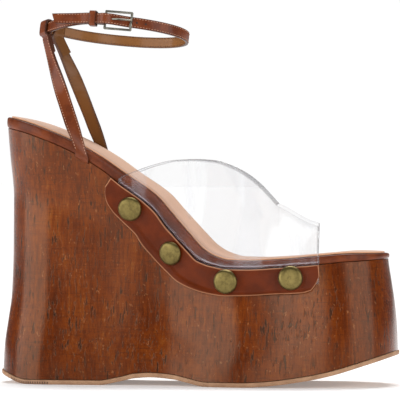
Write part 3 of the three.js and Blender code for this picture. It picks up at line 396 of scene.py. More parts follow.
def ribbon(name, centre, across, out, width, thickness, corner=0.35, lined_from=None):
    """Leather strip along a row of places. width and thickness may change along it.

    From the row lined_from onwards both of its faces show the lining.
    """
    count = len(centre)
    width = np.broadcast_to(width, count)
    thickness = np.broadcast_to(thickness, count)
    sections = []
    for i in range(count):
        shape = strip_section(width[i], thickness[i], min(corner, 0.45 * thickness[i]))
        sections.append(centre[i] + shape[:, :1] * across[i] + shape[:, 1:] * out[i])
    shape = strip_section(width.mean(), thickness.mean(), corner)
    half = width.mean() / 2
    lining = np.ones((count, 1)) * (shape[:, 1] < -0.3 * thickness.mean())
    if lined_from is not None:
        lining[lined_from:] = 1
    rim = smooth(half - 0.55, half - 0.05, np.abs(shape[:, 0]))[None, :]
    return round_mesh(name, np.array(sections), {"lining": lining, "rim": rim}, True, 50)


def turned(name, profile, turns, sharp=40):
    """Shape turned round its own Z, from pairs of radius and height, to be stood on points."""
    angle = 2 * np.pi * np.arange(turns) / turns
    rows = [np.stack([r * np.cos(angle), r * np.sin(angle), np.full(turns, h)], -1)
            for r, h in profile]
    return round_mesh(name, np.stack(rows) + [HEEL_REST, 0, 0], sharp=sharp)


def bar(name, length, width, height):
    """Bar from its origin outwards along X, to be stood on points."""
    ring = np.array([(-1, -1), (1, -1), (1, 1), (-1, 1)]) * [width / 2, height / 2]
    ends = [np.c_[np.full(4, HEEL_REST + x), ring] for x in (-0.2, length)]
    return round_mesh(name, np.array(ends), caps=True)


def resampled(points, count):
    """The same path with evenly spaced points, by a cubic through the given ones."""
    points = np.asarray(points, float)
    padded = np.concatenate([[2 * points[0] - points[1]], points, [2 * points[-1] - points[-2]]])
    dense = []
    for i in range(len(points) - 1):
        a, b, c, d = padded[i:i + 4]
        t = np.linspace(0, 1, 24, endpoint=False)[:, None]
        dense.append(0.5 * (2 * b + (c - a) * t + (2 * a - 5 * b + 4 * c - d) * t**2
                            + (3 * b - a - 3 * c + d) * t**3))
    dense = np.concatenate(dense + [points[-1:]])
    run = run_along(dense)
    return points_at(np.linspace(0, run[-1], count), run, dense)


# Materials
def add_node(tree, kind, settings=None, values=None):
    """New node of a tree. An input is linked where its value is a socket."""
    node = tree.nodes.new(kind)
    for key, setting in (settings or {}).items():
        setattr(node, key, setting)
    for key, value in (values or {}).items():
        if isinstance(value, bpy.types.NodeSocket):
            tree.links.new(value, node.inputs[key])
        else:
            node.inputs[key].default_value = value
    return node


class Value:
    """A socket of a material, with the arithmetic that adds its nodes."""

    def __init__(self, finish, socket):
        self.finish = finish
        self.socket = socket

    def _math(self, operation, *values):
        return self.finish.node("ShaderNodeMath", {"operation": operation}, dict(enumerate(values)))

    def __add__(self, other):
        return self._math("ADD", self, other)

    __radd__ = __add__

    def __sub__(self, other):
        return self._math("SUBTRACT", self, other)

    def __mul__(self, other):
        return self._math("MULTIPLY", self, other)

    def __pow__(self, other):
        return self._math("POWER", self, other)

    def at_least(self, other):
        return self._math("MAXIMUM", self, other)

    def at_most(self, other):
        return self._math("MINIMUM", self, other)

    def between(self, low, high):
        """Soft step from 0 at low to 1 at high, or falling where low is above high."""
        start, end, first, last = (low, high, 0.0, 1.0) if low < high else (high, low, 1.0, 0.0)
        return self.finish.node(
            "ShaderNodeMapRange", {"interpolation_type": "SMOOTHSTEP"},
            {"Value": self, "From Min": start, "From Max": end, "To Min": first, "To Max": last},
        )


class Finish:
    """A material being made from nodes."""

    def __init__(self, name):
        self.material = bpy.data.materials.new(name)
        self.material.use_nodes = True
        self.tree = self.material.node_tree
        self.tree.nodes.clear()
        self.here = self.node("ShaderNodeTexCoord", output="Object")

    def node(self, kind, settings=None, values=None, output=0):
        sockets = {key: value.socket if isinstance(value, Value) else value
                   for key, value in (values or {}).items()}
        made = add_node(self.tree, kind, settings, sockets)
        return Value(self, made.outputs[output]) if made.outputs else None

    def stretched(self, cells):
        """Object coordinates with so many pattern cells to a millimetre, alike or by X, Y, Z."""
        each = cells if isinstance(cells, tuple) else (cells, cells, cells)
        return self.node("ShaderNodeMapping", values={
            "Vector": self.here, "Scale": tuple(1000 * count for count in each)})

    def noise(self, cells, detail=3.0, roughness=0.5, distortion=0.0):
        return self.node("ShaderNodeTexNoise", values={
            "Vector": self.stretched(cells), "Scale": 1.0, "Detail": detail,
            "Roughness": roughness, "Distortion": distortion})

    def cells(self, cells, feature="F1"):
        return self.node("ShaderNodeTexVoronoi", {"feature": feature},
                         {"Vector": self.stretched(cells), "Scale": 1.0}, "Distance")

    def attribute(self, name):
        return self.node("ShaderNodeAttribute", {"attribute_name": name}, output="Fac")

    def axis(self, letter):
        return self.node("ShaderNodeSeparateXYZ", values={0: self.here}, output=letter) * 1000

    def mix(self, share, first, second):
        first = first if isinstance(first, Value) else (*first, 1)
        second = second if isinstance(second, Value) else (*second, 1)
        return self.node("ShaderNodeMix", {"data_type": "RGBA"}, {0: share, 6: first, 7: second}, 2)

    def ramp(self, share, *stops):
        colour = self.node("ShaderNodeValToRGB", values={"Fac": share})
        elements = colour.socket.node.color_ramp.elements
        while len(elements) < len(stops):
            elements.new(0.5)
        for element, (place, shade) in zip(elements, stops):
            element.position = place
            element.color = (*shade, 1)
        return colour

    def bump(self, height, distance, strength):
        return self.node("ShaderNodeBump", values={
            "Height": height, "Distance": distance / 1000, "Strength": strength})

    def surface(self, **values):
        named = {key.replace("_", " "): value for key, value in values.items()}
        shader = self.node("ShaderNodeBsdfPrincipled", values=named)
        self.node("ShaderNodeOutputMaterial", values={"Surface": shader})
        return self.material


def srgb(red, green, blue):
    """Linear colour of a shade given as it looks, from 0 to 255."""
    def linear(value):
        value /= 255
        return value / 12.92 if value <= 0.04045 else ((value + 0.055) / 1.055) ** 2.4
    return linear(red), linear(green), linear(blue)


def lacquered_cork():
    f = Finish("lacquered_cork")
    tone = f.noise((0.045, 0.045, 0.02), 3, 0.55)
    streak = f.noise((0.55, 0.55, 0.06), 5, 0.7)
    layer = f.noise((0.09, 0.09, 0.6), 4, 0.65)
    grain = f.noise((1.5, 1.5, 1.2), 4, 0.7)
    colour = f.ramp(
        tone * 0.34 + streak * 0.38 + layer * 0.14 + grain * 0.14, (0.38, srgb(64, 21, 1)),
        (0.47, srgb(88, 32, 1)), (0.56, srgb(108, 45, 1)), (0.68, srgb(132, 71, 20)))
    weave = f.noise((0.75, 0.75, 0.09), 4, 0.7).between(0.52, 0.62)
    colour = f.mix(weave * 0.45, colour, srgb(64, 24, 6))
    seams = f.noise((0.08, 0.08, 0.85), 4, 0.7).between(0.56, 0.64)
    colour = f.mix(seams * 0.45, colour, srgb(62, 24, 8))
    flecks = f.noise((0.6, 0.6, 0.35), 3, 0.6, 0.4).between(0.64, 0.7)
    colour = f.mix(flecks * 0.35, colour, srgb(168, 112, 70))
    slits = f.noise((0.62, 0.62, 0.1), 2, 0.5, 0.3).between(0.61, 0.66)
    fine = f.noise((0.9, 0.9, 0.17), 2, 0.5, 0.2).between(0.62, 0.68) * 0.6
    clusters = f.noise((0.05, 0.05, 0.05), 2).between(0.3, 0.55)
    pores = f.noise((0.42, 0.42, 0.5), 2, 0.5).between(0.6, 0.68)
    pores = pores * f.cells((0.23, 0.23, 0.1)).between(0.2, 0.1)
    dark = (slits.at_least(fine) * clusters).at_least(pores)
    colour = f.mix(dark * 0.8, colour, srgb(32, 14, 6))
    relief = grain * 0.25 + streak * 0.4 + layer * 0.15 - dark * 0.9
    return f.surface(Base_Color=colour, Roughness=0.15 + grain * 0.12, Specular_IOR_Level=0.4,
                     Specular_Tint=(1, 0.74, 0.52, 1), Normal=f.bump(relief, 0.1, 0.6))


def leather(name, shade, deep, edge, roughness=0.42, lining=None, coat=0.15, wear=0.2):
    """Smooth leather with its cut edge in another shade, and its lining where it has one."""
    f = Finish(name)
    tone = f.noise(0.09, 4, 0.55)
    mottle = f.noise(0.8, 4, 0.6)
    colour = f.mix(tone.between(0.35, 0.65) * 0.75, deep, shade)
    colour = f.mix(mottle.between(0.45, 0.75) * wear, colour, tuple(min(1, 1.5 * c) for c in shade))
    if lining:
        colour = f.mix(f.attribute("lining"), colour, lining)
    colour = f.mix(f.attribute("rim") * 0.85, colour, edge)
    pebble = f.cells(2.2, "DISTANCE_TO_EDGE").between(0.0, 0.2)
    relief = pebble * 0.5 + f.noise(3.0, 3) * 0.5
    return f.surface(Base_Color=colour, Roughness=roughness + mottle * 0.15,
                     Specular_IOR_Level=0.1, Coat_Weight=coat, Coat_Roughness=0.18,
                     Normal=f.bump(relief, 0.06, 0.5))


def sock_leather():
    f = Finish("sock_leather")
    tone = f.noise(0.06, 4, 0.5)
    pile = f.noise(2.5, 4, 0.6)
    colour = f.ramp(
        tone * 0.4 + pile * 0.6, (0.35, srgb(196, 150, 118)), (0.65, srgb(212, 166, 134)))
    # Painted shade: the sock darker towards its outer side
    colour = f.mix(f.axis("Y").between(-10.0, -36.0) * 0.6, colour, srgb(140, 88, 58))
    colour = f.mix(f.attribute("rim"), colour, srgb(206, 150, 112))
    return f.surface(Base_Color=colour, Roughness=0.58 + pile * 0.1, Sheen_Weight=0.15,
                     Normal=f.bump(pile, 0.05, 0.5))


def sole_sheet():
    f = Finish("sole_sheet")
    tone = f.noise(0.15, 4, 0.6)
    grit = f.noise(2.0, 4, 0.6)
    colour = f.ramp(
        tone * 0.6 + grit * 0.4, (0.35, srgb(142, 102, 72)), (0.65, srgb(180, 140, 106)))
    low = f.axis("Z").between(2.2, 0.4)
    colour = f.mix(low * 0.35, colour, srgb(120, 84, 58))
    return f.surface(Base_Color=colour, Roughness=0.55 + grit * 0.12,
                     Normal=f.bump(grit, 0.05, 0.5))


def clear_plastic():
    f = Finish("clear_plastic")
    facing = f.node("ShaderNodeLayerWeight", values={"Blend": 0.5}, output="Facing")
    sweep = f.noise((0.045, 0.02, 0.014), 2, 0.4, 0.9).between(0.46, 0.54)
    rim, painted_bend_shade, painted_highlight = f.attribute("rim"), f.attribute("painted_bend_shade"), f.attribute("painted_highlight")
    colour = f.mix(sweep, srgb(170, 172, 180), srgb(196, 198, 206))
    # Painted shade: a dark purple tint, more opaque, where the vamp bends round the board
    colour = f.mix(painted_bend_shade, colour, srgb(82, 50, 58))
    # Painted highlight: a thin pale, more opaque line on the vamp over the board
    colour = f.mix(painted_highlight, colour, srgb(232, 222, 230))
    colour = f.mix(rim, colour, srgb(104, 104, 108))
    alpha = 0.02 + facing ** 5.0 * 0.18 + sweep * 0.07 + painted_bend_shade * 0.2 + painted_highlight * 0.24 + rim * 0.28
    return f.surface(Base_Color=colour, Roughness=0.08, Alpha=alpha.at_most(0.9))


def metal(name, shade, worn, roughness, patina=0.5):
    f = Finish(name)
    tone = f.noise(0.55, 5, 0.7)
    blot = f.noise(0.2, 2, 0.5)
    scratch = f.noise((0.5, 0.5, 4.0), 3, 0.6)
    colour = f.mix((tone * 0.6 + blot * 0.4).between(0.4, 0.62) * patina, shade, worn)
    return f.surface(Base_Color=colour, Metallic=1.0, Roughness=roughness + scratch * 0.14,
                     Normal=f.bump(tone, 0.07, 0.4))


def matt(name, shade):
    """Matt finish with a fine grain, for the threads and for the painted shade of the grooves and
    the holes.
    """
    f = Finish(name)
    twist = f.noise(4.0, 2)
    colour = f.mix(twist * 0.4, shade, tuple(0.6 * c for c in shade))
    return f.surface(Base_Color=colour, Roughness=0.7, Normal=f.bump(twist, 0.05, 0.5))


# Repeated pieces, by geometry nodes
def new_tree(name):
    """Geometry tree with one geometry in and one out, and the function that adds its nodes."""
    tree = bpy.data.node_groups.new(name, "GeometryNodeTree")
    for way in ("INPUT", "OUTPUT"):
        tree.interface.new_socket("Geometry", in_out=way, socket_type="NodeSocketGeometry")
    return tree, partial(add_node, tree)


def end_tree(add, placed, material):
    """Makes the placed shapes real and gives them their material."""
    real = add("GeometryNodeRealizeInstances", values={0: placed.outputs[0]})
    painted = add("GeometryNodeSetMaterial", values={0: real.outputs[0], "Material": material})
    add("NodeGroupOutput", values={0: painted.outputs[0]})


def stitch_tree(name, material):
    """Small beads of thread laid along every line of the mesh, one to each pitch."""
    tree, add = new_tree(name)
    given = add("NodeGroupInput")
    curve = add("GeometryNodeMeshToCurve", values={0: given.outputs[0]})
    # Linked, because the resampling node's own field doesn't go below 10 mm
    pitch = add("ShaderNodeValue").outputs[0]
    pitch.default_value = STITCH_PITCH / 1000
    points = add("GeometryNodeResampleCurve", {"mode": "LENGTH"},
                 {"Curve": curve.outputs[0], "Length": pitch})
    bead = add("GeometryNodeMeshUVSphere", values={"Segments": 6, "Rings": 4, "Radius": 0.5})
    tangent = add("GeometryNodeInputTangent")
    turn = add("FunctionNodeAlignRotationToVector", {"axis": "X"}, {"Vector": tangent.outputs[0]})
    placed = add("GeometryNodeInstanceOnPoints", values={
        "Points": points.outputs[0], "Instance": bead.outputs[0], "Rotation": turn.outputs[0],
        "Scale": tuple(value / 1000 for value in STITCH_SIZE)})
    end_tree(add, placed, material)
    return tree


def grown(name, points, edges, tree, ways=None, sharp=60):
    """Plain mesh made by a geometry tree from points and lines in millimetres along the sole."""
    mesh = bpy.data.meshes.new(name + "_lines")
    mesh.from_pydata(((np.asarray(points) - [HEEL_REST, 0, 0]) / 1000).tolist(), edges, [])
    if ways is not None:
        layer = mesh.attributes.new("way", "FLOAT_VECTOR", "POINT")
        layer.data.foreach_set("vector", np.asarray(ways, np.float32).ravel())
    maker = linked(name + "_lines", mesh)
    modifier = maker.modifiers.new("grow", "NODES")
    modifier.node_group = tree
    return plain_copy(name, maker, sharp)


def plain_copy(name, maker, sharp):
    """Piece with the mesh that the maker's modifiers give. The maker is removed."""
    graph = bpy.context.evaluated_depsgraph_get()
    mesh = bpy.data.meshes.new_from_object(maker.evaluated_get(graph))
    bpy.data.objects.remove(maker)
    mesh.name = name
    mesh.shade_smooth()
    mesh.set_sharp_from_angle(angle=math.radians(sharp))
    return linked(name, mesh)


def stood(name, template, points, ways, material, axis="Z", pivot="AUTO", sharp=40):
    """The template stood on every point and turned to the point's way, as one plain mesh."""
    tree, add = new_tree(name + "_on_points")
    given = add("NodeGroupInput")
    shape = add("GeometryNodeObjectInfo", values={"Object": template})
    way = add("GeometryNodeInputNamedAttribute", {"data_type": "FLOAT_VECTOR"}, {"Name": "way"})
    turn = add("FunctionNodeAlignRotationToVector", {"axis": axis, "pivot_axis": pivot},
               {"Vector": way.outputs["Attribute"]})
    placed = add("GeometryNodeInstanceOnPoints", values={
        "Points": given.outputs[0], "Instance": shape.outputs["Geometry"],
        "Rotation": turn.outputs[0]})
    end_tree(add, placed, material)
    piece = grown(name, points, [], tree, ways, sharp)
    bpy.data.objects.remove(template)
    return piece


def finished(piece, material, slot, *nodes):
    """Gives a piece its material and its ride, and hides the solids that it stands for."""
    if material is not None:
        piece.data.materials.clear()
        piece.data.materials.append(material)
    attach(piece, "root")
    if nodes:
        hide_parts(*nodes)


# Sole, cork, board and sock
def make_outsole():
    t, edge, lip = OUTSOLE_THICKNESS, OUTSOLE_EDGE, OUTSOLE_LIP
    rounding = [(lip - edge, 0), (lip - 0.3 * edge, 0.18), (lip, edge)]
    levels = [(0, grow, level) for grow, level in rounding] + [(0, lip, t / 2)]
    levels += [(0, grow, t - level) for grow, level in rounding[::-1]]
    return round_mesh("outsole_sheet", slab(levels, lambda x, level: underside(x) + level))


def make_grooves(material):
    """Painted shade of the fine grooves across the sheet: thin dark bars on its edge under the
    heel's back.
    """
    points, ways = [], []
    for side in (-1, 1):
        x = np.linspace(*GROOVE_RANGE, 4000)
        y = plan_edge((x + OUTSOLE_LIP) / (SOLE_LENGTH + 2 * OUTSOLE_LIP), side, 0, OUTSOLE_LIP)
        line = np.stack([x, y], -1)
        run = run_along(line)
        at = points_at(np.arange(0, run[-1], GROOVE_PITCH), run, line)
        along = unit(np.gradient(at, axis=0))
        points += np.c_[at, underside(at[:, 0]) + 1.0].tolist()
        ways += np.c_[-along[:, 1] * side, along[:, 0] * side, 0 * along[:, 0]].tolist()
    template = bar("groove_shape", *GROOVE_SIZE)
    return stood("outsole_grooves", template, points, ways, material, "X", "Z", 30)


def make_cork():
    levels = [(up, 0, up) for up in np.linspace(0, 1, 34)]
    return round_mesh("cork_skin", slab(levels, lambda x, up: mixed(cork_foot(x), cork_top(x), up)))


def make_board():
    turn = np.linspace(-1, 1, 17)
    levels = [(1, BOARD_BULGE * (1.7 * (1 - abs(t) ** 2.6) ** 0.5 - 0.7), (t + 1) / 2)
              for t in turn]
    sections = slab(levels, lambda x, level: board_top(x) - board_depth(x) * (1 - level))
    return round_mesh("board_wrap", sections, {"rim": 0.0, "lining": 0.0})


def make_sock():
    levels = [(1, -SOCK_INSET, 0), (1, -SOCK_INSET, 0.55), (1, -SOCK_INSET - 0.12, 0.85),
              (1, -SOCK_INSET - 0.4, 1), (1, -SOCK_INSET - 0.9, 1)]
    across = 16
    sections = slab(levels, lambda x, level: board_top(x) + GAP + SOCK_THICKNESS * level, across)
    rim = np.zeros(sections.shape[1])
    around = 2 * len(levels) + across - 1
    rim[:4] = rim[around - 4:around] = 1
    return round_mesh("sock_lining_leather", sections, {"rim": rim[None, :]})


# Clear vamp
def vamp_heights(place, x):
    ahead = (place - VAMP_NOTCH) / (VAMP_FRONT - VAMP_NOTCH)
    behind = (place - VAMP_REAR) / (VAMP_NOTCH - VAMP_REAR)
    closed = place >= VAMP_NOTCH
    last = np.where(closed, CROWN.read("last", ahead), THROAT.read("last", behind))
    crown = board_top(place) + INSTEP_RISE * last
    edge = np.maximum(EDGE_HEIGHT * THROAT.read("edge", behind), cork_top(x) + EDGE_START)
    return crown, np.where(closed, crown, edge)


def vamp_wall(places, side):
    """Inner face of the vamp on one side, as rows from the hem to the edge or the crown."""
    hem = lambda x: below_cork_top(x, SKIRT_DEPTH)
    on_cork = lambda x, z: wall_edge(x, z, side, GAP)
    on_board = lambda x, z: edge_at(x, 1, side, BOARD_BULGE + GAP)
    rows = []
    for up in np.linspace(0, 1, SKIRT_ROWS):
        rows.append(beside_sole(places, lambda x: mixed(hem(x), cork_top(x) - 2, up), on_cork))
    at_board = beside_sole(places, lambda x: cork_top(x) + GAP, on_board)
    foot_height = lambda x: np.minimum(
        board_top(x) - 1, (cork_top(x) + GAP + vamp_heights(places, x)[1]) / 2)
    foot = beside_sole(places, foot_height, on_board)
    rows += [mixed(at_board, foot, step) for step in np.linspace(0, 1, FOOT_ROWS, endpoint=False)]
    crown, edge = vamp_heights(places, foot[:, 0])
    reach = np.minimum((edge - foot[:, 2]) / (crown + VAMP_THICKNESS - foot[:, 2]), THROAT_SPREAD)
    closed = places >= VAMP_NOTCH
    stop = np.arcsin(np.where(closed, THROAT_SPREAD, reach) ** (VAMP_ROUNDNESS / 2))
    turns = [stop * step for step in np.linspace(0, 1, ARCH_ROWS)]
    for turn in turns + [np.where(closed, np.pi / 2, stop)]:
        y = foot[:, 1] * np.maximum(0, np.cos(turn)) ** (2 / VAMP_ROUNDNESS)
        z = mixed(foot[:, 2], crown, np.sin(turn) ** (2 / VAMP_ROUNDNESS))
        rows.append(np.stack([places - y * math.tan(VAMP_SKEW), y, z], -1))
    return np.stack(rows, 1)


def make_vamp():
    closer = (1 - np.linspace(0, 1, THROAT_COLUMNS)) ** 1.35
    back = VAMP_NOTCH - (VAMP_NOTCH - VAMP_REAR) * closer
    places = np.concatenate([back, np.linspace(VAMP_NOTCH, VAMP_FRONT, CLOSED_COLUMNS)[1:]])
    first_closed = len(back) - 1
    points, faces, values = [], [], []
    start = 0
    for side in (-1, 1):
        inner = vamp_wall(places, side)
        columns, rows = inner.shape[:2]
        along = np.gradient(inner, axis=0)
        up = np.gradient(inner, axis=1)
        up[first_closed:, -1] = [math.sin(VAMP_SKEW) * side, -math.cos(VAMP_SKEW) * side, 0]
        outward = unit(np.cross(along, up)) * -side
        outward[:first_closed, -1] = outward[:first_closed, -2]
        outer = inner + outward * VAMP_THICKNESS
        layers = np.stack([inner, outer])
        index = start + np.arange(layers[..., 0].size).reshape(2, columns, rows)
        start += index.size
        points.append(layers.reshape(-1, 3))

        def strip(a, b, c, d):
            faces.extend(np.stack([a, b, c, d], -1).reshape(-1, 4).tolist())

        for layer in (0, 1):
            grid = index[layer]
            strip(grid[:-1, :-1], grid[1:, :-1], grid[1:, 1:], grid[:-1, 1:])
        open_end = index[:, :first_closed + 1, -1]
        for line in (index[:, :, 0], open_end, index[:, 0, :], index[:, -1, :]):
            strip(line[0][:-1], line[0][1:], line[1][1:], line[1][:-1])
        above = (outer[..., 2] - cork_top(outer[..., 0])) * np.cos(topline_slope(outer[..., 0]))
        to_throat = norm(inner - inner[:, -1:])
        to_throat[first_closed:] = norm(inner[first_closed:] - inner[first_closed, -1])
        to_ends = np.minimum(norm(inner - inner[:1]), norm(inner - inner[-1:]))
        rim = (1 - smooth(0.15, 0.8, np.minimum(to_throat, to_ends))) * smooth(0, 1, above)
        # Mask of the painted shade where the vamp bends round the board, from the cork's top up to
        # 3 mm
        painted_bend_shade = smooth(0, 0.6, above) * (1 - smooth(1.8, 3.0, above))
        # Mask of the painted highlight, a thin line 1.7 mm above the cork's top
        painted_highlight = np.exp(-((above - 1.7) / 0.3) ** 2)
        values.append(np.stack([rim, rim, 0 * painted_bend_shade, painted_bend_shade, 0 * painted_highlight, painted_highlight]).reshape(3, -1))
    values = dict(zip(("rim", "painted_bend_shade", "painted_highlight"), np.concatenate(values, axis=1)))
    return to_object("clear_vamp_wall", np.concatenate(points), faces, values, sharp=50)


# Bands and studs
def band_point(side, share, down, off):
    place = mixed(BAND_REAR, BAND_FRONT, share)
    standing = (GAP + VAMP_THICKNESS * BAND_STANDING.read("vamp", down)
                + BOARD_BULGE * BAND_STANDING.read("bulge", down))
    top = beside_sole(place, cork_top, lambda x, z: wall_edge(x, z, side))
    slope = topline_slope(top[..., 0])
    x = top[..., 0] - BAND_DEPTH * down * np.sin(slope)
    z = top[..., 2] - BAND_DEPTH * down * np.cos(slope)
    return np.stack(np.broadcast_arrays(x, wall_edge(x, z, side, standing + off), z), -1)


def make_band(side):
    share = closer_at_ends(BAND_COLUMNS)
    depth = BAND_OUTLINE.read("depth", share)
    t = BAND_THICKNESS
    face = np.linspace(0.012, 0.988, 26)
    to_ends = np.minimum(share, 1 - share) * BAND_LENGTH
    rows = [(d, t, 0) for d in face] + [(0.997, 0.8 * t, 1), (1, 0.4 * t, 1), (1, 0, 1)]
    rows += [(d, 0, 0) for d in face[::-3]] + [(0, 0, 1), (0, 0.4 * t, 1), (0.003, 0.8 * t, 1)]
    sections, rims = [], []
    for d, off, rim in rows:
        down = depth * d
        pressed = np.zeros_like(share)
        if off == t:
            for at, below in STUDS:
                away = np.hypot((share - at) * BAND_LENGTH, (down - below) * BAND_DEPTH)
                pressed += PRESSED_DEPTH * np.exp(-((away - STUD_RADIUS) / PRESSED_WIDTH) ** 2)
        sections.append(band_point(side, share, down, off - pressed))
        edge = np.minimum(min(d, 1 - d) * depth * BAND_DEPTH, to_ends)
        rims.append(np.maximum(rim, 1 - smooth(0.1, 0.5, edge)) * (off > 0))
    rim = np.stack(rims, 1)
    values = {"rim": rim, "lining": np.zeros_like(rim)}
    return round_mesh(f"band_{SIDE_NAME[side]}_leather", np.stack(sections, 1), values, caps=True)


def stud_place(side, at, below):
    def face(along, across):
        share = np.array(at + along * STUD_RADIUS / BAND_LENGTH)
        down = np.array(below + across * STUD_RADIUS / BAND_DEPTH)
        return band_point(side, share, down, BAND_THICKNESS)
    centre = face(0, 0)
    axis = unit(np.cross(face(0.8, 0) - face(-0.8, 0), face(0, 0.8) - face(0, -0.8)))
    axis = axis * (side * np.sign(axis[1]))
    angles = np.arange(16) * np.pi / 8
    highest = max(0, *((face(math.cos(a), math.sin(a)) - centre) @ axis for a in angles))
    return centre + axis * (highest + GAP), axis


def make_studs(material):
    places = [stud_place(side, *stud) for side in (-1, 1) for stud in STUDS]
    template = turned("stud_shape", STUD_PROFILE, 48, 60)
    return stood("studs", template, *zip(*places), material, sharp=50)


# Ankle strap and slings
def make_ring():
    angle = np.linspace(0, 2 * np.pi, 4001)
    middle, reach = (RING_BACK + RING_FRONT) / 2, (RING_FRONT - RING_BACK) / 2
    roundness = mixed(*RING_ROUNDNESS, smooth(-0.5, 0.8, np.cos(angle)))
    power = lambda value, exponent: np.sign(value) * np.abs(value) ** exponent
    x = middle - reach * power(np.cos(angle), 2 / roundness)
    behind = np.maximum(0, middle - x) / reach
    reach_out = RING_HALF_WIDTH * (1 - RING_TAPER * behind**RING_TAPER_POWER)
    y = -reach_out * power(np.sin(angle), 2 / roundness)
    outer = 1 - smooth(-RING_HALF_WIDTH / 2, RING_HALF_WIDTH / 2, y)
    dip = RING_DIP * smooth(0.15, 1.1, behind) * outer
    points = np.stack([x, y, RING_HEIGHT - RING_PITCH * (x - middle) - RING_ROLL * y - dip], -1)
    half = 60
    kernel = np.ones(2 * half + 1) / (2 * half + 1)
    padded = np.concatenate([points[-half - 1:-1], points, points[1:half + 1]])
    points = np.stack([np.convolve(padded[:, k], kernel, "valid") for k in range(3)], -1)
    return points, run_along(points)


RING, RING_RUN = make_ring()
RING_LENGTH = RING_RUN[-1]
RING_NORMAL = unit(np.array([RING_PITCH, RING_ROLL, 1.0]))


def ring_point(share):
    return points_at((np.asarray(share, float) % 1) * RING_LENGTH, RING_RUN, RING)


def strap_place(share, out=0, up=0):
    """Centre, and the directions along, across and out of the strap at shares of the ring."""
    share = np.asarray(share, float)
    centre = ring_point(share)
    along = unit(ring_point(share + 0.002) - ring_point(share - 0.002))
    across = unit(RING_NORMAL - along * (along @ RING_NORMAL)[..., None])
    outward = np.cross(along, across)
    middle = np.array([(RING_BACK + RING_FRONT) / 2, 0, RING_HEIGHT])
    away = np.sum(outward * (centre - middle), -1, keepdims=True)
    outward = outward * np.sign(away)
    centre = centre + outward * np.asarray(out)[..., None] + across * np.asarray(up)[..., None]
    return centre, along, across, outward


def ring_share_at(x):
    shares = np.linspace(0.04, 0.46, 4000)
    return float(np.interp(x, ring_point(shares)[:, 0], shares))


REAR_BAR = ring_share_at(BUCKLE_PLACE)
LAYER = STRAP_THICKNESS + GAP


def strap_path(shares):
    ahead = (shares - REAR_BAR) * RING_LENGTH / BUCKLE_LENGTH
    long_end = shares < REAR_BAR + BUCKLE_LENGTH / RING_LENGTH
    out = np.where(long_end, LAYER * OVERLAP.read("layers", ahead), 0)
    up = np.where(long_end, STRAP_WIDTH * OVERLAP.read("rise", ahead), 0)
    return strap_place(shares, out, up)


def make_strap():
    start = REAR_BAR - TAIL_LENGTH / RING_LENGTH
    shares = np.linspace(start, 1 + REAR_BAR - 0.4 / RING_LENGTH, 300)
    centre, along, across, out = strap_path(shares)
    slant = np.zeros(len(shares))
    slant[:8] = TIP_SLANT / STRAP_WIDTH * (1 - np.arange(8) / 8)
    strap = ribbon("ankle_strap_leather", centre, across - along * slant[:, None], out, STRAP_WIDTH,
                   STRAP_THICKNESS)
    return strap, (centre, across, out, STRAP_WIDTH, STRAP_THICKNESS)


def sling_path(side):
    """Centres, directions across and out, widths and walls of a sling from its tab to its end."""
    seat = SLING_SEAT + (SLING_STAGGER if side > 0 else 0)
    slope = float(topline_slope(seat))
    grain = np.array([math.cos(slope), 0, -math.sin(slope)])
    grow = BOARD_BULGE + GAP + SLING_THICKNESS / 2
    face = side * max(float(side * edge_at(seat + step * SLING_WIDTH, 1, side, grow))
                      for step in (-0.5, 0, 0.5))
    seam = float(cork_top(seat))
    foot = [[seat, face - side * SLING_THICKNESS * inward, seam + SLING_THICKNESS * up]
            for inward, up in SLING_BEND]
    centre, along, across, out = strap_place(LOOP_PLACE[side])
    local = lambda outwards, upwards: centre + out * outwards + across * upwards
    under = STRAP_WIDTH / 2 + GAP + LOOP_WALL / 2
    beside = STRAP_THICKNESS / 2 + GAP + LOOP_WALL / 2
    top = local(0, -under - 0.4)
    a, d = np.array(foot[-1]), top
    b = a + FOOT_PULL * np.array([-FOOT_LEAN, 0, 1])
    c = d + HEAD_PULL * np.array([HEAD_LEAN[side], side * HEAD_SPLAY, -1])
    t = np.linspace(0, 1, 26)[1:, None]
    u = 1 - t
    rise = a * u**3 + 3 * b * t * u * u + 3 * c * t * t * u + d * t**3
    turn = [local(aside * beside, above * under + more) for aside, above, more in LOOP_TURN]
    tail = rise[-4] + unit(rise[-4] - rise[-1]) * 1.5 - out * 1.5
    path = resampled(np.concatenate([foot, rise, turn, [tail]]), 200)
    tangent = unit(np.gradient(path, axis=0))
    foot_end = np.argmin(norm(path - a))
    top_end = np.argmin(norm(path - top))
    share = np.clip((np.arange(len(path)) - foot_end) / (top_end - foot_end), 0, 1)
    blend = smooth(0.3, 1, share)[:, None]
    width_way = unit(grain * (1 - blend) + along * -side * blend)
    square = (smooth(0, 0.35, share) * (1 - smooth(0.6, 1, share)))[:, None]
    square = np.maximum(square, smooth(0.9, 1, share)[:, None])
    lean = np.sum(width_way * tangent, -1, keepdims=True)
    width_way = unit(width_way - tangent * lean * square)
    outward = unit(np.cross(width_way, tangent)) * -side
    width = SLING_WIDTH * mixed(SLING_FOOT_SPREAD, 1, smooth(0, 0.35, share))
    wall = mixed(SLING_THICKNESS, LOOP_WALL, smooth(0.9, 1, share))
    return path, width_way, outward, width, wall, top_end


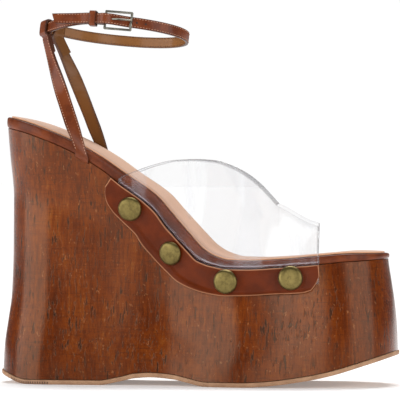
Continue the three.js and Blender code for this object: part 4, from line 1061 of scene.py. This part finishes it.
def make_keeper():
    """Leather loop round both layers of the strap, its ends meeting behind them."""
    share = ring_share_at(KEEPER_PLACE)
    ahead = (share - REAR_BAR) * RING_LENGTH / BUCKLE_LENGTH
    lift = LAYER * float(OVERLAP.read("layers", ahead))
    centre, along, across, out = strap_place(share, lift / 2)
    wide = STRAP_WIDTH / 2 + GAP + KEEPER_THICKNESS / 2
    deep = (STRAP_THICKNESS + lift) / 2 + GAP + KEEPER_THICKNESS / 2
    corner, steps = 0.9, 7
    turn = (np.arange(-1, 3)[:, None] * np.pi / 2 + np.linspace(0, np.pi / 2, steps)).ravel()
    normals = np.stack([np.cos(turn), np.sin(turn)], -1)
    corners = np.repeat([(1, -1), (1, 1), (-1, 1), (-1, -1)], steps, axis=0)
    places = corners * [wide - corner, deep - corner] + corner * normals
    places = np.vstack([(0.05, -deep), places, (-0.05, -deep)])
    normals = np.vstack([(0, -1), normals, (0, -1)])
    path = centre + places[:, :1] * across + places[:, 1:] * out
    outward = normals[:, :1] * across + normals[:, 1:] * out
    return ribbon("strap_keeper_leather", path, np.broadcast_to(along, path.shape), outward,
                  KEEPER_WIDTH, KEEPER_THICKNESS, 0.3)


def rounded_copy(node, radius):
    """Copy of a metal solid with its edges rounded."""
    body = bmesh.new()
    body.from_mesh(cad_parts[node].data)
    bmesh.ops.remove_doubles(body, verts=body.verts, dist=1e-7)
    mesh = bpy.data.meshes.new(node + "_maker")
    body.to_mesh(mesh)
    body.free()
    maker = linked(node + "_maker", mesh)
    bevel = maker.modifiers.new("rounded_edges", "BEVEL")
    bevel.width, bevel.segments = radius / 1000, 3
    bevel.limit_method, bevel.angle_limit = "ANGLE", math.radians(50)
    return plain_copy(node + "_metal", maker, 40)


def make_holes(material):
    """Punched holes of the strap, as dark discs of painted shade flush with its outer face."""
    points, ways = [], []
    for x, layer in ((BUCKLE_PLACE + 1, LAYER * 1.05), (84, 0), (89, 0)):
        centre, _, _, out = strap_place(ring_share_at(x))
        points.append(centre + out * (layer + STRAP_THICKNESS / 2))
        ways.append(out)
    template = turned("hole_shape", HOLE_PROFILE, 16)
    return stood("strap_holes", template, points, ways, material)


def stitch_lines(centre, across, out, width, thickness, inset, first, last, face):
    """Two lines of points just on one face of a strip, one near each edge."""
    aside = (np.asarray(width) / 2 - inset)[..., None]
    on_face = (face * (np.asarray(thickness) / 2 - 0.02))[..., None]
    return [(centre + across * sign * aside + out * on_face)[first:last] for sign in (-1, 1)]


# Scene
def make_floor():
    mesh = bpy.data.meshes.new("floor")
    corners = [(x, y, 0) for x, y in ((-40, -40), (40, -40), (40, 40), (-40, 40))]
    mesh.from_pydata(corners, [], [(0, 1, 2, 3)])
    floor = linked("floor", mesh)
    f = Finish("pale_floor")
    shade = f.mix(f.noise(0.004, 2) * 0.5, (0.93, 0.93, 0.93), (0.95, 0.95, 0.95))
    mesh.materials.append(f.surface(Base_Color=shade, Emission_Color=shade, Emission_Strength=0.2,
                                    Roughness=0.8))


def make_light(name, azimuth, height, distance, size, power):
    """Soft box aimed at the sandal. Azimuth 0 is in front of the outer side, 90 before the toe."""
    light = bpy.data.lights.new(name, "AREA")
    light.shape = "RECTANGLE"
    light.size, light.size_y = size
    light.energy = power
    lamp = linked(name, light)
    turn = math.radians(azimuth)
    lamp.location = (0.077 + distance * math.sin(turn), -distance * math.cos(turn), height)
    aim = Vector((0.077, 0, 0.1)) - lamp.location
    lamp.rotation_mode = "QUATERNION"
    lamp.rotation_quaternion = aim.to_track_quat("-Z", "Y")


def make_camera():
    azimuth, elevation, roll = (math.radians(angle) for angle in (8.5, 0.35, 0.2))
    distance, shot_width = 2.4, 0.238
    right = Vector((math.cos(azimuth), math.sin(azimuth), 0))
    level = Vector((math.sin(azimuth), -math.cos(azimuth), 0))
    back = level * math.cos(elevation) + Vector((0, 0, math.sin(elevation)))
    up = back.cross(right)
    turned_right = right * math.cos(roll) + up * math.sin(roll)
    turned_up = up * math.cos(roll) - right * math.sin(roll)
    lens = bpy.data.cameras.new("camera")
    lens.sensor_width = 36
    lens.lens = 36 * distance / shot_width
    camera = linked("camera", lens)
    place = Vector((0.0773, 0, 0.1091)) + back * distance
    turn = Matrix((turned_right, turned_up, back)).transposed()
    camera.matrix_world = Matrix.Translation(place) @ turn.to_4x4()
    bpy.context.scene.camera = camera


def make_studio():
    world = bpy.data.worlds.new("studio")
    bpy.context.scene.world = world
    world.use_nodes = True
    tree = world.node_tree
    seen = add_node(tree, "ShaderNodeLightPath").outputs["Is Camera Ray"]
    strength = add_node(tree, "ShaderNodeMapRange",
                        values={"Value": seen, "To Min": 0.15, "To Max": 1.01})
    sky = tree.nodes["Background"].inputs
    sky["Color"].default_value = (1, 1, 1, 1)
    tree.links.new(strength.outputs[0], sky["Strength"])
    make_light("left_box", -58, 0.3, 1.3, (1.35, 1.2), 16)
    make_light("front_box", 6, 0.35, 1.6, (0.6, 1.3), 8.5)
    make_light("right_box", 66, 0.3, 1.3, (1.0, 1.2), 9)
    sun = bpy.data.lights.new("ceiling", "SUN")
    sun.energy, sun.angle = 2.75, math.radians(40)
    linked("ceiling", sun).rotation_euler = (math.radians(-25), 0, 0)
    bpy.context.scene.view_settings.view_transform = "Standard"


STRAP_BROWN = srgb(116, 56, 24)
STRAP_DEEP = srgb(88, 37, 12)

make_camera()
make_floor()
make_studio()

board_finish = leather("board_leather", srgb(118, 56, 24), srgb(82, 34, 12), srgb(90, 44, 22), 0.36)
band_finish = leather("band_leather", srgb(98, 36, 2), srgb(80, 28, 2), srgb(186, 132, 96),
                      wear=0.1, coat=0.05)
strap_finish = leather("strap_leather", STRAP_BROWN, STRAP_DEEP, srgb(58, 34, 26),
                       lining=srgb(134, 88, 46), coat=0.32)
sling_finish = leather("sling_leather", STRAP_BROWN, STRAP_DEEP, srgb(62, 34, 22),
                       lining=srgb(108, 68, 32), coat=0.32)
threads = ((1, "strap_stitches", matt("strap_thread", srgb(192, 146, 118))),
           (-1, "lining_stitches", matt("lining_thread", srgb(58, 30, 18))))
brass_finish = metal("antique_brass", srgb(121, 107, 64), srgb(83, 71, 41), 0.36, 0.7)
gunmetal_finish = metal("gunmetal", srgb(128, 126, 116), srgb(60, 56, 50), 0.24)

finished(make_outsole(), sole_sheet(), "outsole", "outsole")
# Painted shade of the grooves: thin dark bars on the outsole's edge
finished(make_grooves(matt("painted_groove_shade", srgb(78, 50, 32))), None, "outsole")
finished(make_cork(), lacquered_cork(), "cork", "cork_wedge")
finished(make_board(), board_finish, "board_leather", "insole_board")
finished(make_sock(), sock_leather(), "sock", "sock_lining")
finished(make_vamp(), clear_plastic(), "clear", "clear_vamp")
for side in (-1, 1):
    finished(make_band(side), band_finish, "band_leather", f"band_{SIDE_NAME[side]}")
stud_nodes = [f"stud_{SIDE_NAME[side]}_{i + 1}" for side in (-1, 1) for i in range(len(STUDS))]
finished(make_studs(brass_finish), None, "stud_metal", *stud_nodes)

strap, strap_strip = make_strap()
finished(strap, strap_finish, "strap_leather", "ankle_strap")
sewn = [(strap_strip, STRAP_STITCH_INSET, 3, 297)]
for side in (-1, 1):
    *strip, top_end = sling_path(side)
    lined_from = top_end + 20 if side > 0 else None
    sling = ribbon(f"sling_{SIDE_NAME[side]}_leather", *strip, lined_from=lined_from)
    finished(sling, sling_finish, "strap_leather", f"sling_{SIDE_NAME[side]}")
    sewn.append((strip, SLING_STITCH_INSET, 12, top_end))
for face, name, thread in threads:
    points, edges = [], []
    for strip, inset, first, last in sewn:
        for line in stitch_lines(*strip, inset, first, last, face):
            edges += [(len(points) + i, len(points) + i + 1) for i in range(len(line) - 1)]
            points += line.tolist()
    beads = grown(name, points, edges, stitch_tree(name + "_beads", thread))
    finished(beads, None, "strap_leather")
# Painted shade inside the punched holes: flush dark discs
finished(make_holes(matt("painted_hole_shade", srgb(40, 20, 12))), None, "strap_leather")
finished(make_keeper(), strap_finish, "strap_leather", "strap_keeper")
for node in ("buckle_frame", "buckle_prong"):
    finished(rounded_copy(node, 0.25), gunmetal_finish, "buckle_metal", node)
